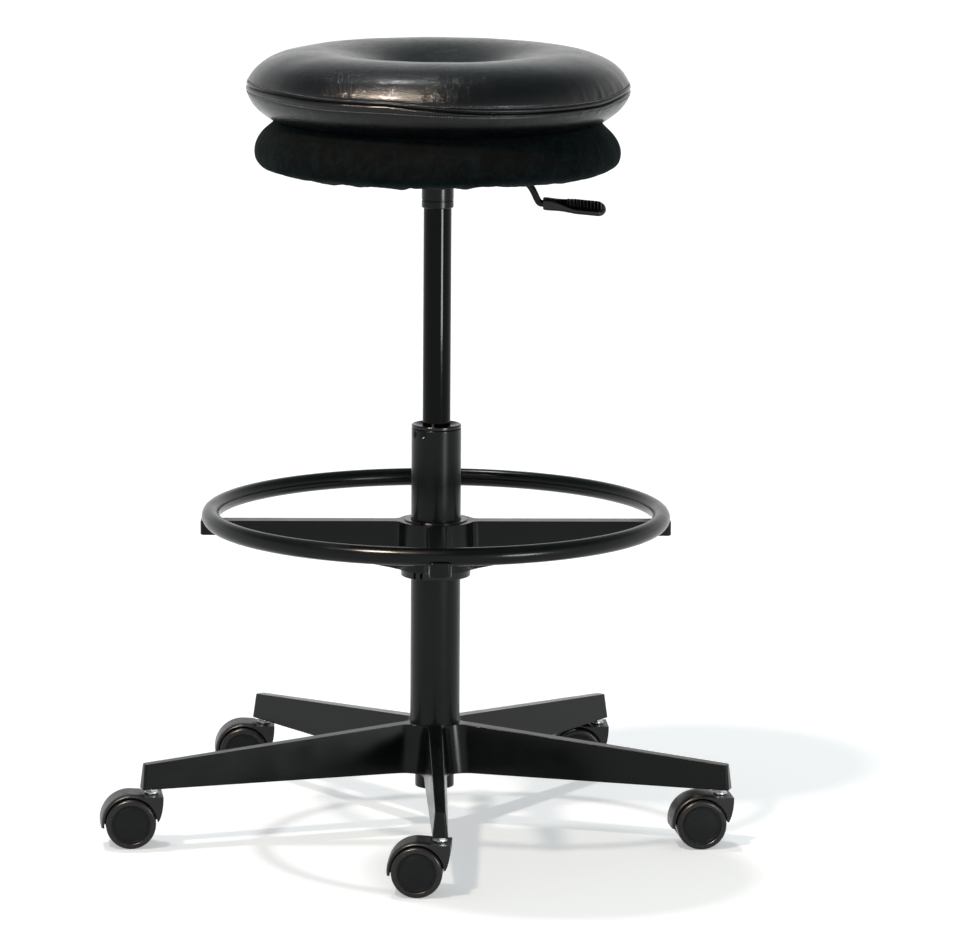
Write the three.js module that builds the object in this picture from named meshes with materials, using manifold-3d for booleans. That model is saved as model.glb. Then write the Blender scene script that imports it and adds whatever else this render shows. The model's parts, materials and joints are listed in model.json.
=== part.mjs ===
import * as THREE from 'three';
import { mergeVertices } from 'three/addons/utils/BufferGeometryUtils.js';
import Module from 'manifold-3d';

// Perch stool with a round two-layer seat, a gas lift, a foot ring and a five-leg base on casters.
// Millimetres, +Z up, floor at Z = 0. The stool's front faces -Y, and its release lever points to +X.
// Inside the stool group the column axis is the Z axis, and heights build up from the wheels.

// Clearances and roundness
const fitGap = 0.3;
const cutOverrun = 1;
const weldDistance = 1e-4;
const largeSides = 48;
const middleSides = 32;
const mediumSides = 24;
const hiddenSides = 16;
const smallSides = 12;
const screwSides = 8;
const wheelSides = 20;
const outlineDivisions = 4;

// Caster wheels
const wheelRadius = 25;
const wheelWidth = 17;
const wheelShoulder = 2;
const wheelTreadDepth = 6;
const wheelDiscRecess = 0.8;
const axleRadius = 3;
const axleCover = 4;

// Caster housing
const webThickness = 11;
const webInset = 4;
const wheelSideGap = 0.5;
const hoodGap = 1.6;
const hoodWall = 3;
const hoodWidth = 38;
const hoodEdgeWidth = 6;
const hoodEdgeDrop = 1.6;
const hoodRearAngle = THREE.MathUtils.degToRad(188);
const casterTrail = 21.5;
const casterTurns = [-3, 7, 3, 3, 6].map(THREE.MathUtils.degToRad);
const landDrop = 3;
const landGap = 1;
const landFront = 11;
const landStep = 1;
const skirtDrop = 24.5;
const skirtDraw = 4.7;
const skirtBellyShare = 0.35;
const swivelClearance = 2.4;

// Caster stem
const stemRadius = 4;
const stemInLeg = 16;
const spigotRadius = 3.5;
const spigotSkin = 3.5;
const washerRadius = 7;
const washerThickness = 2;
const nutRadius = 5.6;

// Star base
const legCount = 5;
const legTurn = THREE.MathUtils.degToRad(1.1);
const stemCircleRadius = 298.5;
const legOverhang = 10.5;
const legRootWidth = 24.5;
const legTipWidth = 15.5;
const legTipHeight = 25;
const legTipCorner = 3;
const legWall = 3.2;
const legDraftShare = 0.1;
const legPocketCount = 4;
const legPocketLead = 11;
const legPocketTail = 16.5;
const legRib = 3;
const hubWall = 9.7;
const hubHeight = 49;
const hubFlatMargin = 1;
const hubFloor = 3;
const bossRadius = 19.6;
const bossDrop = 17.5;
const bossWall = 3.6;

// Column
const columnRadius = 25;
const columnWall = 2;
const columnFloor = 3;
const columnExposed = 305;
const dentRadius = 2.2;
const dentDepth = 1.2;
const dentDrop = 8;
const dentAngles = [210, 240].map(THREE.MathUtils.degToRad);

// Gas lift
const gasRadius = 14;
const gasWall = 1.7;
const gasEnd = 4;
const gasInsertion = 100;
const gasExposed = 218.5;
const gasConeLength = 18.5;
const gasConeDraw = 1.4;
const gasHeadLength = 16;
const bushingLength = 88;
const bushingFlange = 3.8;
const rodRadius = 5;
const rodTail = 6;
const rodCollarRadius = 9;
const rodCollarHeight = 3;
const pistonHeight = 12;
const pistonRest = 8;
const clipThickness = 1.8;
const clipGrooveDepth = 1;
const clipRadius = 8;
const clipMouth = 7;
const bearingRadius = 14;
const bearingHeight = 6;
const bumperRadius = 11;
const bumperHeight = 15;
const buttonRadius = 2.9;
const buttonDepth = 9;
const buttonProud = 5.7;
const buttonTravel = 2.1;

// Seat plate with its socket and lever ears
const socketWall = 2;
const slotGap = 2;
const slotSideGap = 1;
const plateClearance = 7.7;
const plateCorner = 14;
const plateThickness = 2.5;
const plateScrewInset = 14;
const plateScrewRadius = 2.5;
const plateScrewHeadRadius = 5;
const plateScrewHead = 3;
const plateScrewFaceShare = 0.7;
const plateScrewSkin = 2;
const earThickness = 2.2;
const earLength = 12;
const earBelowPivot = 4.8;

// Release lever
const leverRadius = 3.5;
const leverPivotX = 28;
const leverDrop = 8.2;
const leverInnerEnd = 1.5;
const leverEyeRadius = 5;
const leverEyeWidth = 8.6;
const pivotRadius = 1.5;
const leverBendLength = 26;
const leverBendPull = 18;
const leverEntryPull = 6;
const leverLead = 2;
const leverSteps = 8;
const leverSides = 10;
const handleStart = 105;
const handleLength = 63;
const handleRootDrop = 23.5;
const handleTipDrop = 29.2;
const handleWidth = 21;
const handleThickness = 7.5;
const handleRootWidth = 12;
const handleRootThickness = 13;
const handleRoll = THREE.MathUtils.degToRad(28);
const handleSquareness = 0.6;
const handleSides = 12;
const handleNoseShare = 0.14;
const handleBluntShare = 0.25;
const handleStationShares = [0, 0.12, 0.24, 0.36, 0.5, 0.65, 0.8, 0.88, 0.94, 0.98, 1];
const handleRootEndShare = 0.05;
const handleBladeStartShare = 0.55;
const handleRibCount = 9;
const handleRibPitch = 3.2;
const handleRibInset = 4.5;
const handleRibWidthShare = 0.7;
const handleRibHeight = 0.7;
const rodInHandle = 12;

// Seat: board, suede pad and leather cushion
const boardThickness = 12;
const padInset = 7.5;
const padHeight = 51;
const padSideDepth = 33;
const padLipWidth = 32;
const cushionRadius = 190.5;
const cushionHeight = 70.5;
const seamDepth = 1;
const seamHeight = 1.6;

// Share of the pad's radius and share of its height, from the crease under the cushion down and under
const padSideShares = [
  [0.8825, 1],
  [0.9235, 0.88],
  [0.959, 0.763],
  [0.986, 0.625],
  [1, 0.488],
  [1, 0.314],
  [0.989, 0.196],
  [0.956, 0.098],
  [0.896, 0.039],
  [0.815, 0],
];

// Share of the cushion's radius and share of its height, from the crease up to the seam
const cushionLowerShares = [
  [0.861, 0],
  [0.89, 0.06],
  [0.942, 0.174],
  [0.976, 0.274],
  [0.995, 0.36],
];
const cushionSeamShare = 0.452;

// The same from above the seam over the crown and down into the dimple
const cushionUpperShares = [
  [0.992, 0.543],
  [0.963, 0.671],
  [0.916, 0.791],
  [0.845, 0.891],
  [0.751, 0.966],
  [0.64, 1],
  [0.525, 0.972],
  [0.394, 0.87],
  [0.262, 0.715],
  [0.131, 0.6],
  [0, 0.565],
];

// Foot ring, its four-arm hub and the collet that clamps it on the column
const ringRadius = 226.5;
const ringTubeRadius = 9;
const ringTubeWall = 1.5;
const ringSteps = 48;
const ringTubeSides = 10;
const ringBoreSides = 6;
const ringHubDrop = 98;
const armCount = 4;
const armWidth = 18.5;
const armTipWidth = 19.5;
const padBlockOverhang = 1;
const armRootHeight = 48.5;
const armTipHeight = 14.5;
const armDraftShare = 0.02;
const armCorner = 2;
const armFilletSink = 5;
const ringHubWall = 7.5;
const padBlockLength = 22;
const padBlockWidth = 21.5;
const padBlockCorner = 4;
const ringSink = 4.5;
const colletWall = 6.4;
const colletProud = 1.2;
const colletFlangeWidth = 3.3;
const colletFlangeHeight = 7.5;
const colletSlit = 3;
const colletNotch = 15;
const colletSlitAngle = THREE.MathUtils.degToRad(243);
const ringScrewRadius = 2.5;
const ringScrewHeadRadius = 4.5;
const ringScrewHead = 2.5;

// Places that follow from the sizes above
const hoodRadius = wheelRadius + hoodGap + hoodWall;
const pocketRadius = wheelRadius + hoodGap;
const wheelDiscRadius = wheelRadius - wheelTreadDepth;
const webRadius = wheelRadius - webInset;
const wheelInner = webThickness / 2 + wheelSideGap;
const wheelOuter = wheelInner + wheelWidth;
const axleHalf = wheelOuter - axleCover - fitGap;
const landHeight = wheelRadius + hoodRadius - landDrop;
const landRear = washerRadius + landGap;
const spigotLength = skirtDrop - spigotSkin;
const legUnderside = wheelRadius + hoodRadius + swivelClearance;
const legReach = stemCircleRadius + legOverhang;
const hubWaist = columnRadius + fitGap + hubWall;
const hubFlatRadius = hubWaist + hubFlatMargin;
const legPocketStart = hubWaist + legPocketLead;
const legPocketEnd = stemCircleRadius - legPocketTail;
const hubTop = legUnderside + hubHeight;
const bossBoreRadius = bossRadius - bossWall;
const bossBottom = legUnderside - bossDrop;
const hubSeat = legUnderside + hubFloor;
const columnBottom = hubSeat + fitGap;
const columnFloorTop = columnBottom + columnFloor;
const columnTop = hubTop + columnExposed;
const columnEnd = columnTop - bushingFlange - fitGap;
const bearingBottom = columnFloorTop + fitGap;
const collarBottom = bearingBottom + bearingHeight + fitGap;
const bumperBottom = collarBottom + rodCollarHeight + fitGap;
const clipTop = columnBottom - fitGap;
const clipBottom = clipTop - clipThickness;
const gasBottom = columnTop - gasInsertion;
const pistonBottom = gasBottom + gasEnd + pistonRest;
const socketBottom = columnTop + gasExposed;
const gasTop = socketBottom + gasConeLength;
const gasConeTopRadius = gasRadius - gasConeDraw;
const socketRadius = gasRadius + socketWall;
const buttonTop = gasTop + buttonProud;
const leverHeight = buttonTop + fitGap + leverRadius;
const plateBottom = leverHeight + leverDrop;
const plateTop = plateBottom + plateThickness;
const padRadius = cushionRadius - padInset;
const boardRadius = padRadius - padSideDepth;
const padOpeningRadius = boardRadius - padLipWidth;
const plateSide = (padOpeningRadius - plateClearance) * Math.SQRT2;
const plateScrewPlace = plateSide / 2 - plateScrewInset;
const leverBend = handleStart - leverBendLength;
const slotLow = leverHeight - leverRadius - slotGap;
const slotHigh = leverHeight + leverRadius + slotGap;
const earLow = leverHeight - earBelowPivot;
const padBottom = plateBottom;
const boardBottom = plateTop + fitGap;
const padLipTop = plateTop;
const plateScrewLength = boardThickness - plateScrewSkin;
const padTop = padBottom + padHeight;
const cushionBottom = padTop + fitGap;
const ringHubTop = columnTop - ringHubDrop;
const ringHeight = ringHubTop + ringTubeRadius - ringSink;
const ringHubBottom = ringHubTop - armRootHeight;
const armReach = ringRadius + ringTubeRadius + padBlockOverhang;
const colletRadius = columnRadius + fitGap + colletWall;
const colletFlangeRadius = colletRadius + colletFlangeWidth;
const ringHubRadius = colletRadius + fitGap + ringHubWall;
const ringHubWaist = ringHubRadius - armFilletSink;
const colletFlangeTop = ringHubBottom - fitGap;
const colletBottom = colletFlangeTop - colletFlangeHeight;
const colletTop = ringHubTop + colletProud;
const armTipBottom = ringHubTop - armTipHeight;
const ringScrewSeat = armTipBottom + fitGap + ringScrewHead;

const wasm = await Module();
wasm.setup();

// Finishes

function finish(name, color, roughness, metalness) {
  return new THREE.MeshStandardMaterial({ name, color, roughness, metalness });
}

const blackPowderCoat = () => finish('black_powder_coat', 0x17191a, 0.42, 0.1);
const blackGlossEnamel = () => finish('black_gloss_enamel', 0x0d0e0f, 0.16, 0.3);
const blackNylon = () => finish('black_nylon', 0x1c1d1f, 0.5, 0);
const charcoalTread = () => finish('charcoal_tread', 0x2c2b2c, 0.62, 0);
const zincSteel = () => finish('zinc_steel', 0xc4c6c8, 0.3, 1);
const blackLeather = () => finish('black_leather', 0x131315, 0.38, 0);
const blackSuede = () => finish('black_suede', 0x0c1213, 0.95, 0);
const birchPlywood = () => finish('birch_plywood', 0xc9a878, 0.7, 0);
const blackOxideSteel = () => finish('black_oxide_steel', 0x1a1b1c, 0.35, 1);
const blackRubber = () => finish('black_rubber', 0x151515, 0.85, 0);

// Solids and meshes

function solid(geometry) {
  const bare = geometry.clone();
  bare.deleteAttribute('normal');
  bare.deleteAttribute('uv');
  const merged = mergeVertices(bare, weldDistance);
  const vertProperties = new Float32Array(merged.attributes.position.array);
  const triVerts = new Uint32Array(merged.index.array);
  return new wasm.Manifold(new wasm.Mesh({ numProp: 3, vertProperties, triVerts }));
}

function geometryOf(body) {
  const mesh = body.getMesh();
  const geometry = new THREE.BufferGeometry();
  const corners = new Float32Array(mesh.numVert * 3);
  for (let i = 0; i < mesh.numVert; i += 1) {
    for (let k = 0; k < 3; k += 1) {
      corners[3 * i + k] = mesh.vertProperties[mesh.numProp * i + k];
    }
  }
  geometry.setAttribute('position', new THREE.BufferAttribute(corners, 3));
  geometry.setIndex(new THREE.BufferAttribute(new Uint32Array(mesh.triVerts), 1));
  geometry.computeVertexNormals();
  return geometry;
}

function cut(body, ...tools) {
  return tools.reduce((left, tool) => left.subtract(tool), body);
}

function join(body, ...others) {
  return others.reduce((left, other) => left.add(other), body);
}

function meshOf(name, shape, material) {
  const geometry = shape.isBufferGeometry ? shape : geometryOf(shape);
  const mesh = new THREE.Mesh(geometry, material);
  mesh.name = name;
  return mesh;
}

// A closed turned body about Z from [radius, height] points, in either order.
function turned(points, sides, turn = 0) {
  const area = points.reduce((sum, [r, z], i) => {
    const [nextR, nextZ] = points[(i + 1) % points.length];
    return sum + r * nextZ - nextR * z;
  }, 0);
  const ordered = area > 0 ? points : [...points].reverse();
  const onAxis = ordered.findIndex(([r], i) => r === 0 && ordered.at(i - 1)[0] === 0);
  const start = Math.max(onAxis, 0);
  const profile = [...ordered.slice(start), ...ordered.slice(0, start)];
  if (onAxis < 0) profile.push(profile[0]);
  const vectors = profile.map(([r, z]) => new THREE.Vector2(r, z));
  return new THREE.LatheGeometry(vectors, sides, turn).rotateX(Math.PI / 2);
}

// A closed body with one flat side facing each arm of a plan. Radii are measured along the arms.
function flatSided(points, count, turn) {
  const half = Math.PI / count;
  const cornered = points.map(([r, z]) => [r / Math.cos(half), z]);
  return solid(turned(cornered, count, turn + Math.PI / 2 + half));
}

// A round bar along Z.
function drum(radius, low, high, sides = mediumSides) {
  return new THREE.CylinderGeometry(radius, radius, high - low, sides)
    .rotateX(Math.PI / 2)
    .translate(0, 0, (low + high) / 2);
}

// A round bar along Y through a point in the XZ plane.
function crossBar(radius, x, z, from, to, sides = smallSides) {
  return new THREE.CylinderGeometry(radius, radius, to - from, sides)
    .translate(0, (from + to) / 2, 0)
    .translate(x, 0, z);
}

function block(lengthX, widthY, low, high) {
  return new THREE.BoxGeometry(lengthX, widthY, high - low).translate(0, 0, (low + high) / 2);
}

// A flat outline raised from one height to another.
function raised(shape, low, high, curveSegments = 4) {
  const depth = high - low;
  return new THREE.ExtrudeGeometry(shape, { depth, bevelEnabled: false, curveSegments })
    .translate(0, 0, low);
}

function roundedSquare(length, width, corner) {
  const x = length / 2;
  const y = width / 2;
  const shape = new THREE.Shape();
  shape.moveTo(-x + corner, -y);
  shape.lineTo(x - corner, -y);
  shape.quadraticCurveTo(x, -y, x, -y + corner);
  shape.lineTo(x, y - corner);
  shape.quadraticCurveTo(x, y, x - corner, y);
  shape.lineTo(-x + corner, y);
  shape.quadraticCurveTo(-x, y, -x, y - corner);
  shape.lineTo(-x, -y + corner);
  shape.quadraticCurveTo(-x, -y, -x + corner, -y);
  return shape;
}

// A closed skin over rings of points, each ring an array of Vector3, all of one length.
function skinned(rings, firstCap, lastCap) {
  const count = rings[0].length;
  const corners = rings.flat().flatMap((p) => [p.x, p.y, p.z]);
  const faces = [];
  for (let k = 0; k + 1 < rings.length; k += 1) {
    for (let i = 0; i < count; i += 1) {
      const a = k * count + i;
      const b = k * count + ((i + 1) % count);
      faces.push(a, b, b + count, a, b + count, a + count);
    }
  }
  const last = (rings.length - 1) * count;
  firstCap.forEach(([a, b, c]) => faces.push(a, c, b));
  lastCap.forEach(([a, b, c]) => faces.push(last + a, last + b, last + c));
  const geometry = new THREE.BufferGeometry();
  geometry.setAttribute('position', new THREE.Float32BufferAttribute(corners, 3));
  geometry.setIndex(faces);
  return geometry;
}

function fan(count) {
  return Array.from({ length: count - 2 }, (_, i) => [0, i + 1, i + 2]);
}

function outlinePoints(shape) {
  const points = shape.getPoints(outlineDivisions);
  return points.filter((p, i) => p.distanceTo(points.at(i - 1)) > weldDistance);
}

// A body whose outline changes evenly from the lower one to the upper one.
function drafted(lower, upper, low, high) {
  const rings = [
    lower.map((p) => new THREE.Vector3(p.x, p.y, low)),
    upper.map((p) => new THREE.Vector3(p.x, p.y, high)),
  ];
  const caps = [lower, upper].map((ring) => THREE.ShapeUtils.triangulateShape(ring, []));
  return skinned(rings, caps[0], caps[1]);
}

// The plan of a hub with arms: tapered arms, round tip corners and a hollow fillet between arms.
function armedOutline(plan, inset) {
  const { count, turn, rootWidth, tipWidth, reach, waist, corner } = plan;
  const half = Math.PI / count;
  const root = rootWidth / 2 - inset;
  const tip = tipWidth / 2 - inset;
  const end = reach - inset;
  const round = Math.min(corner, tip / 2);
  const filletPlace = (waist - rootWidth / 2) / (1 - Math.sin(half));
  const filletRadius = filletPlace * Math.sin(half) - root;
  const shape = new THREE.Shape();
  for (let k = 0; k < count; k += 1) {
    const angle = turn + 2 * half * k;
    const along = new THREE.Vector2(Math.cos(angle), Math.sin(angle));
    const across = new THREE.Vector2(-along.y, along.x);
    const at = (r, t) => along.clone().multiplyScalar(r).addScaledVector(across, t);
    const near = at(end - round, -tip);
    const startTip = at(end, -tip + round);
    const endTip = at(end, tip - round);
    const far = at(end - round, tip);
    if (k === 0) {
      shape.moveTo(near.x, near.y);
    } else {
      shape.lineTo(near.x, near.y);
    }
    shape.quadraticCurveTo(at(end, -tip).x, at(end, -tip).y, startTip.x, startTip.y);
    shape.lineTo(endTip.x, endTip.y);
    shape.quadraticCurveTo(at(end, tip).x, at(end, tip).y, far.x, far.y);
    const centre = new THREE.Vector2(Math.cos(angle + half), Math.sin(angle + half))
      .multiplyScalar(filletPlace);
    const from = angle + 1.5 * Math.PI;
    const to = angle + 2 * half + 0.5 * Math.PI;
    shape.absarc(centre.x, centre.y, filletRadius, from, to, true);
  }
  return shape;
}

function armedBody(plan, draftShare, low, high) {
  const upperInset = draftShare * (high - low);
  const lower = outlinePoints(armedOutline(plan, 0));
  const upper = outlinePoints(armedOutline(plan, upperInset));
  return drafted(lower, upper, low, high);
}

// Star base: hub, five hollow legs with cross ribs, the column's seat and a socket for each stem

const legPlan = {
  count: legCount,
  turn: -Math.PI / 2 + legTurn,
  rootWidth: legRootWidth,
  tipWidth: legTipWidth,
  reach: legReach,
  waist: hubWaist,
  corner: legTipCorner,
};

const legAngle = (k) => legPlan.turn + (2 * Math.PI * k) / legCount;

// The height of a leg's sloping top face, at a place along the leg.
function legTop(r) {
  const slope = (hubHeight - legTipHeight) / (legReach - hubFlatRadius);
  return hubTop - slope * Math.max(r - hubFlatRadius, 0);
}

// All that lies under the legs' top faces, lowered by a wall for the hollows.
function underLegTop(lowered, turn) {
  const rim = legReach + cutOverrun;
  const rimTop = legTop(rim) - lowered;
  const low = bossBottom - cutOverrun;
  const profile = [
    [0, low],
    [rim, low],
    [rim, rimTop],
    [hubFlatRadius, hubTop - lowered],
    [0, hubTop - lowered],
  ];
  return flatSided(profile, legCount, turn);
}

function legHalfWidth(r) {
  const share = (r - hubWaist) / (legReach - hubWaist);
  return THREE.MathUtils.lerp(legRootWidth, legTipWidth, share) / 2;
}

function legPockets() {
  const pitch = (legPocketEnd - legPocketStart + legRib) / legPocketCount;
  const pockets = [];
  for (let i = 0; i < legPocketCount; i += 1) {
    const from = legPocketStart + pitch * i;
    const to = from + pitch - legRib;
    const ring = (z) => {
      const inset = legWall + legDraftShare * (z - legUnderside);
      const a = legHalfWidth(from) - inset;
      const b = legHalfWidth(to) - inset;
      return [[from, -a], [to, -b], [to, b], [from, a]].map(([x, y]) => new THREE.Vector2(x, y));
    };
    const low = legUnderside - cutOverrun;
    const high = legTop(from) - legWall + cutOverrun;
    pockets.push(solid(drafted(ring(low), ring(high), low, high)));
  }
  return pockets;
}

function starBase() {
  const top = hubTop + cutOverrun;
  const legs = solid(armedBody(legPlan, legDraftShare, legUnderside, top));
  const boss = solid(drum(bossRadius, bossBottom, hubSeat, mediumSides));
  const body = join(legs.intersect(underLegTop(0, legPlan.turn)), boss);
  const ceiling = underLegTop(legWall, 0);
  const pockets = legPockets().map((pocket) => pocket.intersect(ceiling));
  const stemBore = solid(
    drum(stemRadius + fitGap, legUnderside - cutOverrun, legUnderside + stemInLeg + fitGap, smallSides)
      .translate(stemCircleRadius, 0, 0),
  );
  const tools = [
    solid(drum(columnRadius + fitGap, hubSeat, hubTop + cutOverrun, largeSides)),
    solid(drum(bossBoreRadius, bossBottom - cutOverrun, hubSeat + cutOverrun, mediumSides)),
  ];
  for (let k = 0; k < legCount; k += 1) {
    const degrees = THREE.MathUtils.radToDeg(legAngle(k));
    [...pockets, stemBore].forEach((tool) => tools.push(tool.rotate([0, 0, degrees])));
  }
  return meshOf('star_base', cut(body, ...tools), blackPowderCoat());
}

// Column tube, with a pierced floor and two crimp dents that hold the guide bushing

function columnTube() {
  const bore = columnRadius - columnWall;
  const hole = rodRadius + fitGap;
  const tube = solid(turned([
    [hole, columnBottom],
    [columnRadius, columnBottom],
    [columnRadius, columnEnd],
    [bore, columnEnd],
    [bore, columnFloorTop],
    [hole, columnFloorTop],
  ], largeSides));
  const dents = dentAngles.map((angle) => {
    const place = columnRadius - dentDepth + dentRadius;
    return solid(new THREE.IcosahedronGeometry(dentRadius, 1)
      .translate(place * Math.cos(angle), place * Math.sin(angle), columnTop - dentDrop));
  });
  return meshOf('column_tube', cut(tube, ...dents), blackPowderCoat());
}

// A plain ring about Z.
function collar(inner, outer, low, high, sides) {
  return turned([[inner, low], [outer, low], [outer, high], [inner, high]], sides);
}

// A sleeve inside the tube, with a flange that closes the tube's end.
function guideBushing() {
  const inner = gasRadius + fitGap;
  const outer = columnRadius - columnWall - fitGap;
  const flangeBottom = columnTop - bushingFlange;
  const geometry = turned([
    [inner, columnTop - bushingLength],
    [outer, columnTop - bushingLength],
    [outer, flangeBottom],
    [columnRadius, flangeBottom],
    [columnRadius, columnTop],
    [inner, columnTop],
  ], middleSides);
  return meshOf('guide_bushing', geometry, blackNylon());
}

function thrustBearing() {
  const top = bearingBottom + bearingHeight;
  const geometry = collar(rodRadius + fitGap, bearingRadius, bearingBottom, top, hiddenSides);
  return meshOf('thrust_bearing', geometry, zincSteel());
}

function bumpStop() {
  const top = bumperBottom + bumperHeight;
  const geometry = collar(rodRadius + fitGap, bumperRadius, bumperBottom, top, hiddenSides);
  return meshOf('bump_stop', geometry, blackRubber());
}

function pistonRod() {
  const groove = rodRadius - clipGrooveDepth;
  const pistonRadius = gasRadius - gasWall - fitGap;
  const geometry = turned([
    [0, clipBottom - rodTail],
    [rodRadius, clipBottom - rodTail],
    [rodRadius, clipBottom - fitGap],
    [groove, clipBottom - fitGap],
    [groove, clipTop + fitGap],
    [rodRadius, clipTop + fitGap],
    [rodRadius, collarBottom],
    [rodCollarRadius, collarBottom],
    [rodCollarRadius, collarBottom + rodCollarHeight],
    [rodRadius, collarBottom + rodCollarHeight],
    [rodRadius, pistonBottom],
    [pistonRadius, pistonBottom],
    [pistonRadius, pistonBottom + pistonHeight],
    [0, pistonBottom + pistonHeight],
  ], hiddenSides);
  return meshOf('piston_rod', geometry, zincSteel());
}

function retainingClip() {
  const inner = rodRadius - clipGrooveDepth + fitGap;
  const ring = solid(collar(inner, clipRadius, clipBottom, clipTop, hiddenSides));
  const low = clipBottom - cutOverrun;
  const mouth = solid(block(clipRadius, clipMouth, low, clipTop + cutOverrun)
    .translate(clipRadius / 2 + inner / 2, 0, 0));
  return meshOf('retaining_clip', cut(ring, mouth), zincSteel());
}

function gasCylinder() {
  const bore = gasRadius - gasWall;
  const rodHole = rodRadius + fitGap;
  const headBottom = socketBottom + gasConeLength - gasHeadLength;
  const buttonBore = buttonRadius + fitGap;
  const buttonFloor = gasTop - buttonDepth - buttonTravel - fitGap;
  const shell = solid(turned([
    [rodHole, gasBottom],
    [gasRadius, gasBottom],
    [gasRadius, socketBottom],
    [gasConeTopRadius, gasTop],
    [0, gasTop],
    [0, headBottom],
    [bore, headBottom],
    [bore, gasBottom + gasEnd],
    [rodHole, gasBottom + gasEnd],
  ], mediumSides));
  const seat = solid(drum(buttonBore, buttonFloor, gasTop + cutOverrun, smallSides));
  return meshOf('gas_cylinder', cut(shell, seat), blackGlossEnamel());
}

function releaseButton() {
  const low = gasTop - buttonDepth;
  const geometry = drum(buttonRadius, low, buttonTop, smallSides);
  return meshOf('release_button', geometry, zincSteel());
}

// Seat plate: a pressed plate, a welded socket with the lever's slot, and two ears for its pivot

function seatPlate() {
  const plate = solid(raised(roundedSquare(plateSide, plateSide, plateCorner), plateBottom, plateTop));
  const socket = solid(drum(socketRadius, socketBottom, plateBottom + plateThickness / 2, mediumSides));
  const slope = (gasRadius - gasConeTopRadius) / gasConeLength;
  const mouth = gasRadius + fitGap;
  const deep = plateTop + cutOverrun;
  const bore = solid(turned([
    [0, socketBottom - cutOverrun],
    [mouth, socketBottom - cutOverrun],
    [mouth, socketBottom],
    [mouth - slope * gasConeLength, gasTop],
    [mouth - slope * gasConeLength, deep],
    [0, deep],
  ], mediumSides));
  const slotLength = socketRadius + cutOverrun;
  const slotWidth = 2 * (leverRadius + slotSideGap);
  const slot = solid(block(slotLength, slotWidth, slotLow, slotHigh).translate(slotLength / 2, 0, 0));
  const earPlace = (leverEyeWidth + earThickness) / 2 + fitGap;
  const ears = [-earPlace, earPlace].map((y) => solid(
    block(earLength, earThickness, earLow, plateBottom + plateThickness / 2)
      .translate(leverPivotX, y, 0),
  ));
  const reach = earPlace + earThickness;
  const pivot = solid(crossBar(pivotRadius + fitGap, leverPivotX, leverHeight, -reach, reach));
  const holes = squareCorners(plateScrewPlace).map(([x, y]) => solid(
    drum(plateScrewRadius + fitGap, plateBottom - cutOverrun, plateTop + cutOverrun, screwSides)
      .translate(x, y, 0),
  ));
  const body = join(plate, socket, ...ears);
  return meshOf('seat_plate', cut(body, bore, slot, pivot, ...holes), blackPowderCoat());
}

function squareCorners(side) {
  return [[side, side], [-side, side], [-side, -side], [side, -side]];
}

function plateScrew(index, [x, y]) {
  const headBottom = plateBottom - fitGap - plateScrewHead;
  const geometry = turned([
    [0, headBottom],
    [plateScrewHeadRadius * plateScrewFaceShare, headBottom],
    [plateScrewHeadRadius, headBottom + plateScrewHead / 2],
    [plateScrewHeadRadius, headBottom + plateScrewHead],
    [plateScrewRadius, headBottom + plateScrewHead],
    [plateScrewRadius, plateTop + plateScrewLength],
    [0, plateTop + plateScrewLength],
  ], screwSides).translate(x, y, 0);
  return meshOf(`plate_screw_${index}`, geometry, zincSteel());
}

// Release lever: a bent rod with an eye on its pivot, and a ribbed paddle on its end

// The rod's straight inner length, its bend, and the straight end that the handle is pushed on.
function leverRings() {
  const slope = (handleTipDrop - handleRootDrop) / handleLength;
  const at = (x, drop) => new THREE.Vector3(x, 0, leverHeight - drop);
  const onHandleLine = (x) => at(x, handleRootDrop + slope * (x - handleStart));
  const entry = handleStart - leverLead;
  const bend = new THREE.CubicBezierCurve3(
    at(leverBend, 0),
    at(leverBend + leverBendPull, 0),
    onHandleLine(entry - leverEntryPull),
    onHandleLine(entry),
  );
  const places = [
    at(-leverInnerEnd, 0),
    ...bend.getPoints(leverSteps),
    onHandleLine(handleStart + rodInHandle),
  ];
  return places.map((place, i) => {
    const along = bend.getTangent(THREE.MathUtils.clamp((i - 1) / leverSteps, 0, 1));
    return Array.from({ length: leverSides }, (_, k) => {
      const angle = (2 * Math.PI * k) / leverSides;
      const up = leverRadius * Math.sin(angle);
      return new THREE.Vector3(-along.z * up, leverRadius * Math.cos(angle), along.x * up).add(place);
    });
  });
}

function leverRod() {
  const cap = fan(leverSides);
  const rod = solid(skinned(leverRings(), cap, cap));
  const half = leverEyeWidth / 2;
  const eye = solid(crossBar(leverEyeRadius, leverPivotX, leverHeight, -half, half));
  const hole = solid(crossBar(pivotRadius + fitGap, leverPivotX, leverHeight,
    -half - cutOverrun, half + cutOverrun));
  return meshOf('lever_rod', cut(join(rod, eye), hole), blackPowderCoat());
}

function leverPivotPin() {
  const half = leverEyeWidth / 2 + fitGap + earThickness + pivotRadius;
  const geometry = crossBar(pivotRadius, leverPivotX, leverHeight, -half, half);
  return meshOf('lever_pivot_pin', geometry, zincSteel());
}

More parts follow.
